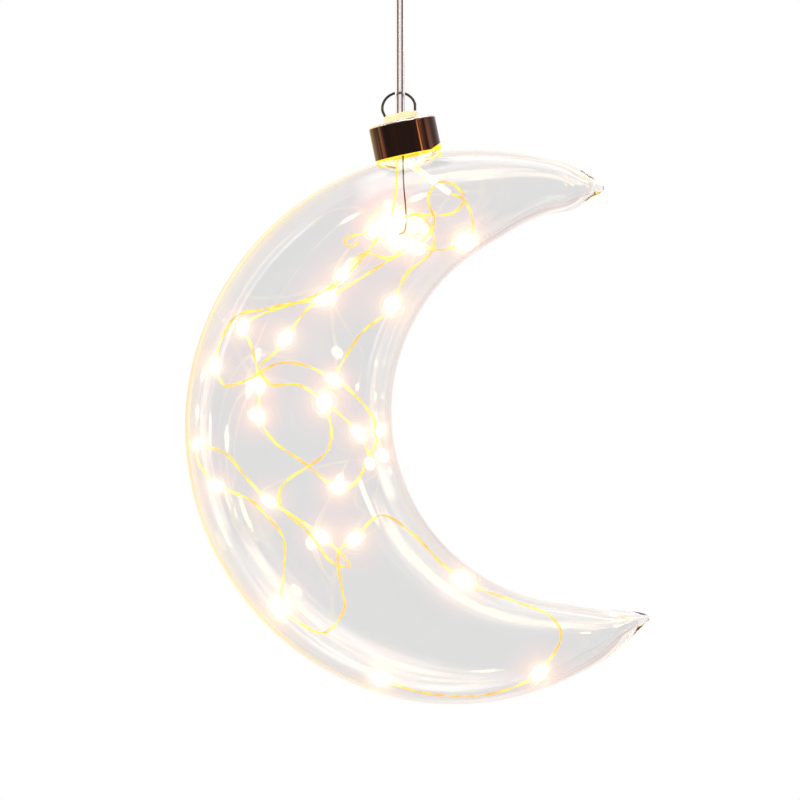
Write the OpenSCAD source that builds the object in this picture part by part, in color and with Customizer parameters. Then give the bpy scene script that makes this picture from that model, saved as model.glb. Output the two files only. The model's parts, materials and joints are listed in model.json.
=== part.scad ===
// Hanging crescent light: a blown glass crescent with a string of small lights inside,
// hung on a clear flat twin lead from a small ceiling cup.
// Origin: centre of the ceiling plate's top face. Z is up, X runs to the right of the crescent
// as it is seen from the front, and Y runs to the back. All sizes are in millimetres.

/* [Crescent] */
// Radius of the crescent's outer arc
outer_r = 100.7; // [97:0.1:104]
// Radius of the crescent's inner arc
inner_r = 69.5; // [67:0.1:71.5]
// Distance between the centres of the two arcs
arc_offset = 44; // [42:0.5:46]
// Angle by which the inner arc's centre lies above the outer one's level
arc_lean = 7.5; // [5:0.5:10]
// Front-to-back depth of the glass at its widest place
belly_depth = 52; // [50:1:60]
// Glass thickness at the widest place
belly_wall = 1.1; // [0.9:0.1:1.4]

/* [Neck and cap] */
// Place of the neck on the outer arc, in degrees from the right
neck_angle = 101.6; // [100:0.1:103]
// Outer radius of the glass neck
neck_r = 10.4; // [10:0.1:10.6]
// Glass thickness of the neck
neck_wall = 1.4; // [1.2:0.1:1.5]
// Outer radius of the metal cap
cap_r = 12.15; // [12:0.05:12.4]
// Height of the metal cap
cap_h = 12.9; // [12.5:0.1:14]
// Sheet thickness of the metal cap
cap_wall = 0.6; // [0.5:0.05:0.7]
// Radius of the plug's disc that stands out of the cap
disc_r = 6.1; // [6:0.1:6.5]
// Height of that disc above the cap
disc_h = 2.7; // [2.5:0.1:3]

/* [Bail] */
// Thickness of the bail's wire
bail_wire = 0.95; // [0.8:0.05:1]
// Centreline radius of the bail's bow
bail_r = 5.96; // [5.9:0.02:6]
// Height of the bow's top above its pins, along the bail
bail_reach = 9.65; // [9.4:0.05:11]
// Angle by which the bail leans to the back
bail_lean = 20; // [18:1:25]

/* [Lead] */
// Width of the flat twin lead
cord_w = 3.6; // [3.2:0.1:3.7]
// Thickness of the flat twin lead
cord_t = 2; // [1.8:0.1:2.2]
// Thickness of each copper core
core_d = 0.75; // [0.6:0.05:1]
// Free length of the lead between the ceiling bush and the plug's disc
cord_free = 47.4; // [47:0.1:48]

/* [Ceiling cup] */
// Outer radius of the ceiling cup
cup_r = 21; // [20.5:0.5:24]
// Height of the ceiling cup
cup_h = 18; // [18:0.5:20]
// Wall of the ceiling cup
cup_wall = 1; // [0.8:0.1:1.2]
// Thickness of the ceiling plate
plate_t = 1.5; // [1.5:0.1:2]
// Distance between the two fixing holes
fixing_gap = 24; // [22:1:26]
// Radius of each fixing hole
fixing_r = 2.1; // [1.7:0.1:2.3]

/* [String of lights] */
// Thickness of the wire of the string of lights
string_d = 1; // [0.8:0.1:1]
// Thickness of each resin drop
drop_d = 3.4; // [3:0.1:3.4]
// Length of each resin drop
drop_len = 5; // [4.5:0.1:5.5]

/* [Hidden] */
// Facets of a full circle: small round pieces, others, and the large smooth ones
fine_fn = 24;
$fn = 48;
wide_fn = 96;

// Shared clearances
// Length by which a cut runs past the face that it cuts
overrun = 1;
// Gap between pieces that are assembled and stay still
seat_gap = 0.05;
// Gap between round pieces that turn in each other
turn_gap = 0.2;

// Travel of the two hinges at the ends of the lead, in degrees
swing_angle = 20;
rock_angle = 8;
// Spare angle of the flared bores
flare_spare = 1;

// Ceiling cup, plate and screws
cup_lift = 0.3;
cup_corner = 4;
plate_gap = 0.3;
lug_w = 8;
lug_h = 8;
lug_t = 3.2;
screw_drop = 6;
screw_r = 1.25;
screw_head_r = 2.5;
screw_head_t = 1.6;
screw_slot = 0.8;
screw_hole_r = 1.5;
lead_entry_r = 3;
lead_entry_x = 9;
plate_r = cup_r - cup_wall - plate_gap;

// Bush in the ceiling cup, and the two ball-shaped stops of the lead
ball_r = 3.9;
socket_r = ball_r + turn_gap;
bush_r = 6;
bush_flange_r = 8;
bush_flange_t = 1.6;
bush_rise = 8.5;
nut_r = 9.5;
nut_t = 2;
upper_pivot_rise = 4;
upper_pivot_z = -cup_h + upper_pivot_rise;
bush_mouth_z = -cup_h - bush_flange_t;
stop_collar_r = 2.4;
stop_collar_h = 5;

// Levels of the lead's lower end
disc_top_z = bush_mouth_z - cord_free;
pivot_depth = 5.5;
pivot_z = disc_top_z - pivot_depth;

// Heights along the neck's axis, counted from the crown of the outer arc
cap_foot = -0.75;
cap_top = cap_foot + cap_h;
disc_top = cap_top + disc_h;
flange_t = 1.2;
rim_top = cap_top - cap_wall - flange_t;

// Place of the outer arc's centre
arc_x = -(outer_r + disc_top) * cos(neck_angle);
arc_z = disc_top_z - (outer_r + disc_top) * sin(neck_angle);

// Neck, cap and plug
neck_bore_r = neck_r - neck_wall;
neck_root = 6;
neck_bore_depth = 12;
cap_bore_r = cap_r - cap_wall;
cap_hole_r = disc_r + turn_gap;
cap_round = 1.3;
disc_round = 0.9;
plug_r = neck_bore_r - turn_gap;
plug_depth = 7;
seal_foot = 0.6;
seal_top = 9;
flange_r = cap_bore_r - turn_gap;
flange_edge = cap_round - cap_wall;
cord_bore_r = cord_w / 2 + turn_gap;

// Cover that closes the plug from below, and the swivel's crimped ferrule
chamber_gap = 0.4;
chamber_r = socket_r + chamber_gap;
cover_r = 6.4;
cover_t = 1;
cover_hole_r = 0.9;
ferrule_r = 2.25;
ferrule_up = 2.6;
ferrule_flange_r = 3;
ferrule_flange_t = 1.1;
ball_half_h = 3;
ferrule_down = ball_half_h + ferrule_flange_t + seat_gap;

// Bail and its seats in the disc
pin_h = cap_top + disc_h / 2;
pin_in = 3.5;
pin_out = 5.2;
slot_in = 4.55;
slot_gap = 0.3;

// Lead, from its lower end in the ferrule to its upper end in the ceiling cup
cord_route = [[0, 0, -76], [0, 0, -68], [0, 0, -60], [0, 0, -52], [0, 0, -44], [0, 0, -36],
    [0, 0, -28], [0, 0, -20], [0, 0, -12]];
core_route = [[0, 0, -77.2], [0, 0, -68], [0, 0, -60], [0, 0, -52], [0, 0, -44], [0, 0, -36],
    [0, 0, -28], [0, 0, -20], [0, 0, -8]];
cord_sides = 8;
core_gap_share = 0.43;

// Outline of the crescent, from its upper tip to its lower tip. Each row holds the angle and
// the radius share of a place on the outer outline, then those of the place across from it on
// the inner outline. A share of 1 lies on the arc.
outline_shares = [
    [59.7, 0.997, 85.6, 1.148], [61.4, 1.002, 87.2, 1.118], [63.4, 1.007, 89.4, 1.095],
    [66.1, 1.012, 91.8, 1.064], [69.5, 1.015, 95.2, 1.043], [74.5, 1.010, 100.2, 1.040],
    [80.5, 1.003, 107.5, 1.024], [88.5, 0.997, 116.5, 1.002], [97.5, 0.996, 126.5, 1],
    [108, 0.999, 135.5, 1], [120, 1, 144.5, 1], [142.5, 1, 160, 1], [165, 1, 174.1, 1],
    [187.5, 1, 187.5, 1], [210, 1, 200.9, 1], [232.5, 1, 215, 1], [255, 0.999, 230.5, 1],
    [267, 0.993, 239.5, 0.999], [277.5, 0.985, 247.5, 0.997], [287, 0.976, 255.5, 0.993],
    [294, 0.970, 262.5, 0.992], [299.7, 0.969, 269.8, 1.006], [304.5, 0.965, 275.8, 1.025],
    [308.4, 0.958, 280.2, 1.043], [311.2, 0.953, 284, 1.066], [313, 0.953, 286.2, 1.088],
    [313.7, 0.956, 287.2, 1.108]];
// Angle between two sections of the glass, and sides of each section
section_angle = 4.5;
ring_sides = 28;
// How strongly the blown wall thickens as the section narrows
wall_power_share = 0.8;
// Largest part of a section's half width that the wall may take
wall_limit_share = 0.6;
// Rows at each tip where the glass is solid
solid_rows = 2;

// Routes of the string of lights, one list a strand. Each point holds its angle round the outer
// arc's centre, its share of the half width towards the outer wall, and its share of the half
// depth towards the back.
main_shares = [[96.5, 0.18, -0.1], [94, 0, -0.1], [93.5, -0.36, 0], [95, -0.64, -0.15],
    [97.5, -0.7, -0.3], [105.5, -0.62, -0.45], [112.5, -0.34, -0.25], [121, -0.28, -0.35],
    [132, -0.18, -0.5], [141.5, 0, -0.55], [147, 0.28, -0.6], [151, 0.5, -0.45],
    [154.5, 0.72, -0.3], [161, 0.78, -0.25], [166.5, 0.76, -0.3], [169.5, 0.68, -0.4],
    [170.5, 0.6, -0.45], [168.5, 0.42, -0.6], [163, 0.16, -0.7], [162, -0.12, -0.75],
    [164.5, -0.4, -0.75], [166, -0.52, -0.7], [169.5, -0.64, -0.6], [173.5, -0.74, -0.5],
    [179.5, -0.82, -0.35], [185.5, -0.82, -0.25], [195, -0.86, -0.2]];
long_shares = [[115, 0.1, -0.2], [110.5, 0.08, -0.25], [106, 0, -0.35], [105.5, -0.36, -0.5],
    [110, -0.56, -0.55], [120, -0.56, -0.5], [132, -0.66, -0.35], [137, -0.64, -0.4],
    [146, -0.52, -0.55], [158.5, -0.44, -0.65], [164.5, -0.4, -0.65], [172.5, -0.34, -0.7],
    [179, -0.4, -0.65], [185, -0.4, -0.45], [190.5, -0.3, -0.25], [195, 0.04, 0.25],
    [197.5, 0.18, 0.35], [200, 0.22, 0.4], [203, 0.22, 0.4], [212.5, 0.08, 0.15],
    [220.5, 0.06, -0.15], [224.5, 0, -0.25], [225.5, -0.08, -0.4], [221, -0.08, -0.45],
    [214, -0.02, -0.45], [206, 0.12, -0.5], [199.5, 0.3, -0.55], [194, 0.42, -0.45],
    [186.5, 0.6, -0.25], [184.5, 0.76, -0.1], [183.5, 0.88, 0], [187, 0.9, 0.1],
    [190, 0.84, 0.15], [193, 0.76, 0.15], [198, 0.48, -0.1], [203, 0.38, -0.25],
    [207.5, 0.32, -0.35], [211.5, 0.34, -0.4], [219, 0.56, -0.25], [223.5, 0.76, -0.1],
    [227.5, 0.74, -0.1], [233, 0.7, 0.1], [235, 0.58, 0.3], [234, 0.32, 0.5],
    [230.5, 0.2, 0.5], [222.5, 0, 0.3], [220, -0.12, 0.1], [220, -0.28, -0.15],
    [217.5, -0.54, -0.4], [219.5, -0.68, -0.4], [232.5, -0.8, -0.15], [246.5, -0.8, -0.2],
    [257.5, -0.78, -0.25], [268, -0.8, -0.2], [279.5, -0.8, -0.15], [290, -0.6, -0.15],
    [292, -0.04, -0.2], [286, 0.6, -0.2], [281, 0.76, -0.1], [275, 0.84, -0.05], [268.5, 0.86, 0],
    [259, 0.84, -0.05], [252.5, 0.8, -0.1], [250, 0.8, -0.1]];
mid_shares = [[116, -0.1, 0.15], [117, -0.2, 0.15], [118, -0.32, 0.05], [122, -0.2, -0.1],
    [125.5, 0, -0.2], [133.5, 0, -0.35], [141.5, 0, -0.5], [146.5, 0.1, -0.45],
    [156, 0.18, -0.3], [160, 0.22, -0.4], [164, 0.32, -0.45], [166, 0.32, -0.5],
    [169, 0.18, -0.6], [168, -0.08, -0.65], [172.5, -0.34, -0.65], [176, -0.48, -0.6],
    [184, -0.66, -0.5], [191, -0.72, -0.4], [197, -0.72, -0.25]];
back_shares = [[115, 0.16, 0.2], [123.5, 0, 0.45], [135.5, 0, 0.55], [145, 0.22, 0.65],
    [152, 0.52, 0.5], [156.5, 0.64, 0.45], [160, 0.5, 0.55], [169.5, 0.32, 0.7],
    [177.5, 0.3, 0.75], [184.5, 0.16, 0.75], [192, -0.1, 0.8], [202.5, -0.34, 0.75],
    [202, -0.56, 0.55], [183.5, -0.88, 0.2]];
loop_shares = [[93.5, 0.06, -0.25], [95, 0.3, -0.3], [97.5, 0.4, -0.4], [100, 0.34, -0.45],
    [102.5, 0.16, -0.5], [103.5, -0.18, -0.6], [108, -0.34, -0.45], [111.5, -0.34, -0.35]];
link_shares = [[94, -0.04, -0.1], [96, -0.14, -0.15], [99, -0.16, -0.15], [103, -0.08, -0.15],
    [107, 0.06, -0.05], [110.5, 0.08, 0.15]];
curl_shares = [[116, 0.1, -0.15], [118.5, 0.14, 0], [120, 0.18, 0.15], [124.5, 0.28, 0.25],
    [126.5, 0.28, 0.3], [126.5, 0.18, 0.3], [124, 0.16, 0.25]];
string_sides = 8;
// Points of each strand that carry a resin drop
drop_places = [[4, 6, 9, 14, 20, 26], [0, 6, 11, 24, 26, 30, 33, 39, 47, 52, 57, 63],
    [0, 5, 8, 16, 18], [0, 5, 7, 8, 11, 13], [], [5], [1]];
drop_sides = 20;
drop_steps = 3;
drop_turn = 75;
chip_w = 1.6;
chip_t = 0.8;

// Leads between the plug and the string of lights
lead_d = 0.9;
sleeve_d = 2.2;
lead_sides = 8;
// Places where the leads pass the plug's cover, across the neck's axis and towards the back
lead_places = [[-3, -1], [-1.2, -2], [-1.2, 1]];
// Routes of the leads below the cover, and of the sleeve, in the same shares
pair_shares = [[107, 0.6, 0], [109.5, 0.38, 0], [113.5, 0.16, -0.1]];
single_shares = [[105.5, 0.58, -0.1], [108.5, 0.16, -0.1], [112, -0.08, 0], [114.5, -0.08, 0.05]];
sleeve_lead_shares = [[103, 0.86, 0]];
sleeve_shares = [[103, 0.92, 0], [100, 0.56, -0.05], [96.5, 0.18, -0.1]];

// Value between two rows on a smooth curve through four rows
function blend4(a, b, c, d, s) = 0.5 * ((2 * b) + (c - a) * s + (2 * a - 5 * b + 4 * c - d)
    * s * s + (3 * b - a - 3 * c + d) * s * s * s);
function row_at(i) = outline_shares[max(0, min(len(outline_shares) - 1, i))];
// Smooth row of the outline at any place along it, counted in rows
function smooth_row(u) = let (i = min(floor(u), len(outline_shares) - 2), s = u - i)
    [for (k = [0:3]) blend4(row_at(i - 1)[k], row_at(i)[k], row_at(i + 1)[k],
        row_at(i + 2)[k], s)];
function arc_point(cx, cz, r, a) = [cx + r * cos(a), cz + r * sin(a)];
inner_x = arc_x + arc_offset * cos(arc_lean);
inner_z = arc_z + arc_offset * sin(arc_lean);
belly_width = outer_r - inner_r + arc_offset;
flat_share = 1 - belly_depth / belly_width;

// One section of the glass: its middle, its direction across, its half width and half depth,
// and the wall's thickness there
function section(u) = let (
    row = smooth_row(u),
    a = arc_point(arc_x, arc_z, outer_r * row[1], row[0]),
    b = arc_point(inner_x, inner_z, inner_r * row[3], row[2]),
    width = norm(a - b),
    across = (a - b) / width,
    fill = width / belly_width,
    depth = width * (1 - flat_share * fill * fill),
    wall = min(belly_wall / pow(fill, wall_power_share), wall_limit_share * width / 2))
    [(a + b) / 2, across, width / 2, depth / 2, wall];
function section_ring(s, shrink) = [for (k = [0:ring_sides - 1])
    let (t = -360 * k / ring_sides, w = (s[2] - shrink) * cos(t), d = (s[3] - shrink) * sin(t))
    [s[0][0] + s[1][0] * w, d, s[0][1] + s[1][1] * w]];
last_row = len(outline_shares) - 1;
// Places of the sections between two rows, spread evenly along the crescent
function row_cuts(i) = max(1, round((outline_shares[i + 1][0] - outline_shares[i][0])
    / section_angle));
function section_places(first, last) = [for (i = [first:last - 1]) for (k = [0:row_cuts(i) - 1])
    i + k / row_cuts(i), last];

// Points of a route that is given in shares of the crescent
row_places = [for (i = [0:last_row]) [outline_shares[i][0], i]];
function place(p) = let (s = section(lookup(p[0], row_places)))
    [s[0][0] + s[1][0] * s[2] * p[1], s[3] * p[2], s[0][1] + s[1][1] * s[2] * p[1]];
function route_of(shares) = [for (p = shares) place(p)];
strands = [route_of(main_shares), route_of(long_shares), route_of(mid_shares),
    route_of(back_shares), route_of(loop_shares), route_of(link_shares), route_of(curl_shares)];
// Point at a height along the neck's axis, moved across it and towards the back
function neck_point(p, h) = [arc_x + (outer_r + h) * cos(neck_angle) + p[0] * sin(neck_angle),
    p[1], arc_z + (outer_r + h) * sin(neck_angle) - p[0] * cos(neck_angle)];
lead_top = rim_top - plug_depth + cover_t / 2;
lead_shares = [pair_shares, single_shares, sleeve_lead_shares];
leads = [for (i = [0:2]) concat([neck_point(lead_places[i], lead_top)],
    route_of(lead_shares[i]))];

// Faces of a tube whose rings have n points each, closed at both ends
function tube_faces(rings, n) = concat(
    [for (i = [0:rings - 2]) for (k = [0:n - 1])
        [i * n + k, i * n + (k + 1) % n, (i + 1) * n + (k + 1) % n]],
    [for (i = [0:rings - 2]) for (k = [0:n - 1])
        [i * n + k, (i + 1) * n + (k + 1) % n, (i + 1) * n + k]],
    [for (k = [1:n - 2]) [0, k + 1, k]],
    [for (k = [1:n - 2]) [(rings - 1) * n, (rings - 1) * n + k, (rings - 1) * n + k + 1]]);

// Sweep of an oval section along a route, with flat sides that touch the oval
function unit(v) = v / norm(v);
function heading(route, i) = unit(route[min(i + 1, len(route) - 1)] - route[max(i - 1, 0)]);
function frames(route, i = 0, side = [0, 1, 0], done = []) = i == len(route) ? done :
    let (h = heading(route, i), flat = unit(side - h * (side * h)))
    frames(route, i + 1, flat, concat(done, [[h, flat, cross(h, flat)]]));
function sweep_points(route, half_w, half_t, sides) = let (
    f = frames(route),
    grow = 1 / cos(180 / sides))
    [for (i = [0:len(route) - 1]) for (k = [0:sides - 1])
        let (t = 360 * (k + 0.5) / sides)
        route[i] + grow * (f[i][1] * half_t * sin(t) + f[i][2] * half_w * cos(t))];

module sweep(route, half_w, half_t, sides) {
    polyhedron(points = sweep_points(route, half_w, half_t, sides),
        faces = tube_faces(len(route), sides), convexity = 6);
}

// Places its children on the neck's axis, at a height above the crown of the outer arc
module on_neck(h) {
    translate([arc_x + (outer_r + h) * cos(neck_angle), 0, arc_z + (outer_r + h) * sin(neck_angle)])
        rotate([0, 90 - neck_angle, 0]) children();
}

// Points of a quarter round corner, from the side to the top
function corner(cx, cz, r, from, to) = [for (k = [0:6])
    let (t = from + (to - from) * k / 6) [cx + r * cos(t), cz + r * sin(t)]];

// Outline of the flat twin lead, grown by a gap
module flat_outline(gap) {
    for (s = [-1, 1]) translate([s * (cord_w - cord_t) / 2, 0]) circle(cord_t / 2 + gap);
    square([cord_w - cord_t, cord_t + 2 * gap], center = true);
}

module ceiling_plate() color("gainsboro") difference() {
    union() {
        translate([0, 0, -plate_t]) cylinder(r = plate_r, h = plate_t);
        for (s = [0, 180]) rotate([0, 0, s])
            intersection() {
                translate([plate_r - lug_t, -lug_w / 2, -plate_t - lug_h])
                    cube([lug_t, lug_w, lug_h + plate_t / 2]);
                translate([0, 0, -plate_t - lug_h]) cylinder(r = plate_r, h = lug_h + plate_t);
            }
    }
    for (s = [-1, 1]) translate([0, s * fixing_gap / 2, -plate_t - overrun])
        cylinder(r = fixing_r, h = plate_t + 2 * overrun);
    translate([lead_entry_x, 0, -plate_t - overrun])
        cylinder(r = lead_entry_r, h = plate_t + 2 * overrun);
    for (s = [0, 180]) rotate([0, 0, s]) translate([plate_r - lug_t - overrun, 0, -screw_drop])
        rotate([0, 90, 0]) cylinder(r = screw_r + seat_gap, h = lug_t + 2 * overrun);
}

module ceiling_cup() color("dimgray") difference() {
    rotate_extrude($fn = wide_fn) polygon(concat(
        [[bush_r + seat_gap, -cup_h]],
        corner(cup_r - cup_corner, cup_corner - cup_h, cup_corner, -90, 0),
        [[cup_r, -cup_lift], [cup_r - cup_wall, -cup_lift]],
        corner(cup_r - cup_corner, cup_corner - cup_h, cup_corner - cup_wall, 0, -90),
        [[bush_r + seat_gap, cup_wall - cup_h]]));
    for (s = [0, 180]) rotate([0, 0, s]) translate([cup_r - cup_wall - overrun, 0, -screw_drop])
        rotate([0, 90, 0]) cylinder(r = screw_hole_r, h = cup_wall + 2 * overrun);
}

module cup_screws() color("silver") for (s = [0, 180]) rotate([0, 0, s])
    translate([0, 0, -screw_drop]) rotate([0, 90, 0]) difference() {
        union() {
            translate([0, 0, plate_r - lug_t]) cylinder(r = screw_r, h = cup_r - plate_r + lug_t);
            translate([0, 0, cup_r]) cylinder(r1 = screw_head_r, r2 = screw_head_r - screw_slot / 2,
                h = screw_head_t);
        }
        translate([-screw_slot / 2, -screw_head_r - overrun, cup_r + screw_head_t / 2])
            cube([screw_slot, 2 * (screw_head_r + overrun), screw_head_t]);
    }

module cord_bush() color("gainsboro") difference() {
    union() {
        translate([0, 0, bush_mouth_z]) cylinder(r1 = bush_flange_r - bush_flange_t / 2,
            r2 = bush_flange_r, h = bush_flange_t / 2);
        translate([0, 0, bush_mouth_z + bush_flange_t / 2])
            cylinder(r = bush_flange_r, h = bush_flange_t / 2);
        translate([0, 0, -cup_h]) cylinder(r = bush_r, h = bush_rise);
    }
    translate([0, 0, upper_pivot_z]) sphere(socket_r);
    translate([0, 0, upper_pivot_z]) cylinder(r = socket_r, h = bush_rise);
    translate([0, 0, bush_mouth_z - overrun]) flared_bore(upper_pivot_z - bush_mouth_z + overrun,
        swing_angle, 180);
}

// Conical bore that lets the lead lean by an angle about a point at its narrow end
module flared_bore(depth, angle, turn) {
    wide = cord_bore_r + depth * tan(angle + flare_spare);
    translate([0, 0, turn == 0 ? 0 : depth]) rotate([turn, 0, 0])
        cylinder(r1 = cord_bore_r, r2 = wide, h = depth);
}

module bush_nut() color("dimgray") translate([0, 0, cup_wall - cup_h]) difference() {
    cylinder(r = nut_r, h = nut_t, $fn = 6);
    translate([0, 0, -overrun]) cylinder(r = bush_r + seat_gap, h = nut_t + 2 * overrun);
}

module cord_stop() color("silver") translate([0, 0, upper_pivot_z]) difference() {
    union() {
        sphere(ball_r);
        cylinder(r = stop_collar_r, h = stop_collar_h);
    }
    translate([0, 0, -ball_r - overrun]) linear_extrude(ball_r + stop_collar_h + 2 * overrun)
        flat_outline(seat_gap);
}

module cord_jacket() color("lavender") sweep(cord_route, cord_w / 2, cord_t / 2, cord_sides);

module cord_cores() color("peru") for (s = [-1, 1]) translate([s * cord_w * core_gap_share / 2, 0, 0])
    sweep(core_route, core_d / 2, core_d / 2, cord_sides);

module cord_ferrule() color("silver") translate([0, 0, pivot_z]) difference() {
    union() {
        translate([0, 0, -ferrule_down]) cylinder(r = ferrule_r, h = ferrule_down + ferrule_up);
        translate([0, 0, -ferrule_down]) cylinder(r = ferrule_flange_r, h = ferrule_flange_t);
    }
    translate([0, 0, -ferrule_down - overrun])
        linear_extrude(ferrule_down + ferrule_up + 2 * overrun) flat_outline(seat_gap);
}

module swivel_ball() color("ivory") translate([0, 0, pivot_z]) difference() {
    intersection() {
        sphere(ball_r);
        translate([0, 0, -ball_half_h]) cylinder(r = ball_r + overrun, h = 2 * ball_half_h);
    }
    translate([0, 0, -ball_r - overrun])
        cylinder(r = ferrule_r + seat_gap, h = 2 * (ball_r + overrun));
}

// Plug of the neck, with the swivel's socket, the bail's seats and slots, and its upper disc
module neck_plug() color("peachpuff") difference() {
    on_neck(0) rotate_extrude($fn = wide_fn) polygon(concat(
        [[0, rim_top - plug_depth], [plug_r, rim_top - plug_depth], [plug_r, rim_top],
            [flange_r, rim_top], [flange_r, rim_top + flange_t - flange_edge],
            [flange_r - flange_edge, rim_top + flange_t], [disc_r, rim_top + flange_t]],
        corner(disc_r - disc_round, disc_top - disc_round, disc_round, 0, 90),
        [[0, disc_top]]));
    translate([0, 0, pivot_z]) sphere(socket_r);
    translate([0, 0, pivot_z]) flared_bore(pivot_depth + overrun, rock_angle, 0);
    translate([0, 0, pivot_z - 2 * plug_depth]) cylinder(r = chamber_r, h = 2 * plug_depth);
    on_neck(rim_top - plug_depth - overrun)
        cylinder(r = cover_r + seat_gap, h = cover_t + overrun);
    on_neck(pin_h) for (s = [0, 180]) rotate([0, 0, s])
        translate([pin_in - turn_gap, 0, 0]) rotate([0, 90, 0])
            cylinder(r = bail_wire / 2 + seat_gap, h = pin_out - pin_in + turn_gap);
    on_neck(pin_h) for (s = [-1, 1]) translate([s * (slot_in + disc_r) / 2, 0, 0])
        translate([-(disc_r - slot_in) / 2 - (s < 0 ? overrun : 0), -bail_wire / 2 - slot_gap,
            -bail_wire / 2 - slot_gap])
            cube([disc_r - slot_in + overrun, disc_r + overrun, disc_h + overrun]);
}

module plug_cover() color("whitesmoke") difference() {
    on_neck(rim_top - plug_depth) cylinder(r = cover_r, h = cover_t);
    on_neck(rim_top - plug_depth - overrun) for (p = lead_places) translate([p[0], p[1], 0])
        cylinder(r = cover_hole_r, h = cover_t + 2 * overrun);
}

module cap_shell() color("#241f1c") on_neck(0) rotate_extrude($fn = wide_fn) polygon(concat(
    [[cap_hole_r, cap_top - cap_wall], [cap_hole_r, cap_top]],
    corner(cap_r - cap_round, cap_top - cap_round, cap_round, 90, 0),
    [[cap_r, cap_foot], [cap_bore_r, cap_foot]],
    corner(cap_r - cap_round, cap_top - cap_round, cap_round - cap_wall, 0, 90)));

module neck_seal() color("whitesmoke") on_neck(seal_foot) difference() {
    cylinder(r = cap_bore_r - seat_gap, h = seal_top - seal_foot);
    translate([0, 0, -overrun])
        cylinder(r = neck_r + seat_gap, h = seal_top - seal_foot + 2 * overrun);
}

// Bail: a bow of wire on two short pins, leaning to the back about the pins
module bail() color("#2b2b28") on_neck(pin_h) rotate([-bail_lean, 0, 0]) {
    bow_h = bail_reach - bail_r;
    leg = [pin_out - bail_r, -bow_h];
    translate([0, 0, bow_h]) rotate([90, 0, 0])
        rotate_extrude(angle = 180) translate([bail_r, 0]) circle(bail_wire / 2, $fn = fine_fn);
    for (s = [0, 180]) rotate([0, 0, s]) {
        translate([bail_r, 0, bow_h]) sphere(bail_wire / 2, $fn = fine_fn);
        translate([pin_out, 0, 0]) rotate([0, atan2(-leg[0], bow_h), 0])
            cylinder(r = bail_wire / 2, h = norm(leg), $fn = fine_fn);
        translate([pin_out, 0, 0]) sphere(bail_wire / 2, $fn = fine_fn);
        translate([pin_in, 0, 0]) rotate([0, 90, 0])
            cylinder(r = bail_wire / 2, h = pin_out - pin_in, $fn = fine_fn);
    }
}

// One skin of the glass between two rows of the outline, at the wall's depth when inside is 1
module glass_skin(first, last, inside) {
    places = section_places(first, last);
    points = [for (u = places) let (s = section(u)) each section_ring(s, inside * s[4])];
    polyhedron(points = points, faces = tube_faces(len(places), ring_sides), convexity = 6);
}

module glass_crescent() color("aliceblue", 0.5) difference() {
    union() {
        glass_skin(0, last_row, 0);
        on_neck(-neck_root) cylinder(r = neck_r, h = neck_root + rim_top);
    }
    glass_skin(solid_rows, last_row - solid_rows, 1);
    on_neck(-neck_bore_depth) cylinder(r = neck_bore_r, h = neck_bore_depth + rim_top + overrun);
}

module lead_sleeve() color("whitesmoke")
    sweep(route_of(sleeve_shares), sleeve_d / 2, sleeve_d / 2, lead_sides);

module lead_wires() color("#3a2c22") for (route = leads)
    sweep(route, lead_d / 2, lead_d / 2, lead_sides);

module led_wire() color("goldenrod") for (route = strands)
    sweep(route, string_d / 2, string_d / 2, string_sides);

// Places its children at a point of a strand, with Z along the wire
module along(route, i) {
    h = heading(route, i);
    translate(route[i]) rotate([0, acos(h[2]), atan2(h[1], h[0])]) children();
}

// Resin drops that seal the small lights, cast round the wire, with blunt ends on the wire
module led_drops() color("lightyellow") for (n = [0:len(strands) - 1]) for (i = drop_places[n])
    along(strands[n], i) rotate_extrude($fn = drop_sides) polygon(concat(
        [[0, -drop_len / 2]],
        [for (k = [-drop_steps:drop_steps])
            let (t = drop_turn * k / drop_steps)
            [drop_d / 2 * cos(t), drop_len / 2 * sin(t) / sin(drop_turn)]],
        [[0, drop_len / 2]]));

module led_chips() color("gold") for (n = [0:len(strands) - 1]) for (i = drop_places[n])
    along(strands[n], i) cube([chip_t, chip_t, chip_w], center = true);

ceiling_plate();
ceiling_cup();
cup_screws();
cord_bush();
bush_nut();
cord_stop();
cord_jacket();
cord_cores();
cord_ferrule();
swivel_ball();
neck_plug();
plug_cover();
cap_shell();
neck_seal();
bail();
glass_crescent();
lead_sleeve();
lead_wires();
led_wire();
led_drops();
led_chips();
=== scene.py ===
"""Looks of a hanging crescent light: a blown glass crescent with a string of small lights.

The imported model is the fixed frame. Sizes are in millimetres, as on a drawing, and are turned to
metres where a mesh is made. X runs to the right as the crescent is seen from the front, Y to the
back and Z up, from the middle of the ceiling plate's top face.
"""

import json
import logging
import math
from collections.abc import Callable, Sequence
from dataclasses import dataclass, field
from enum import Enum
from typing import NamedTuple

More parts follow.
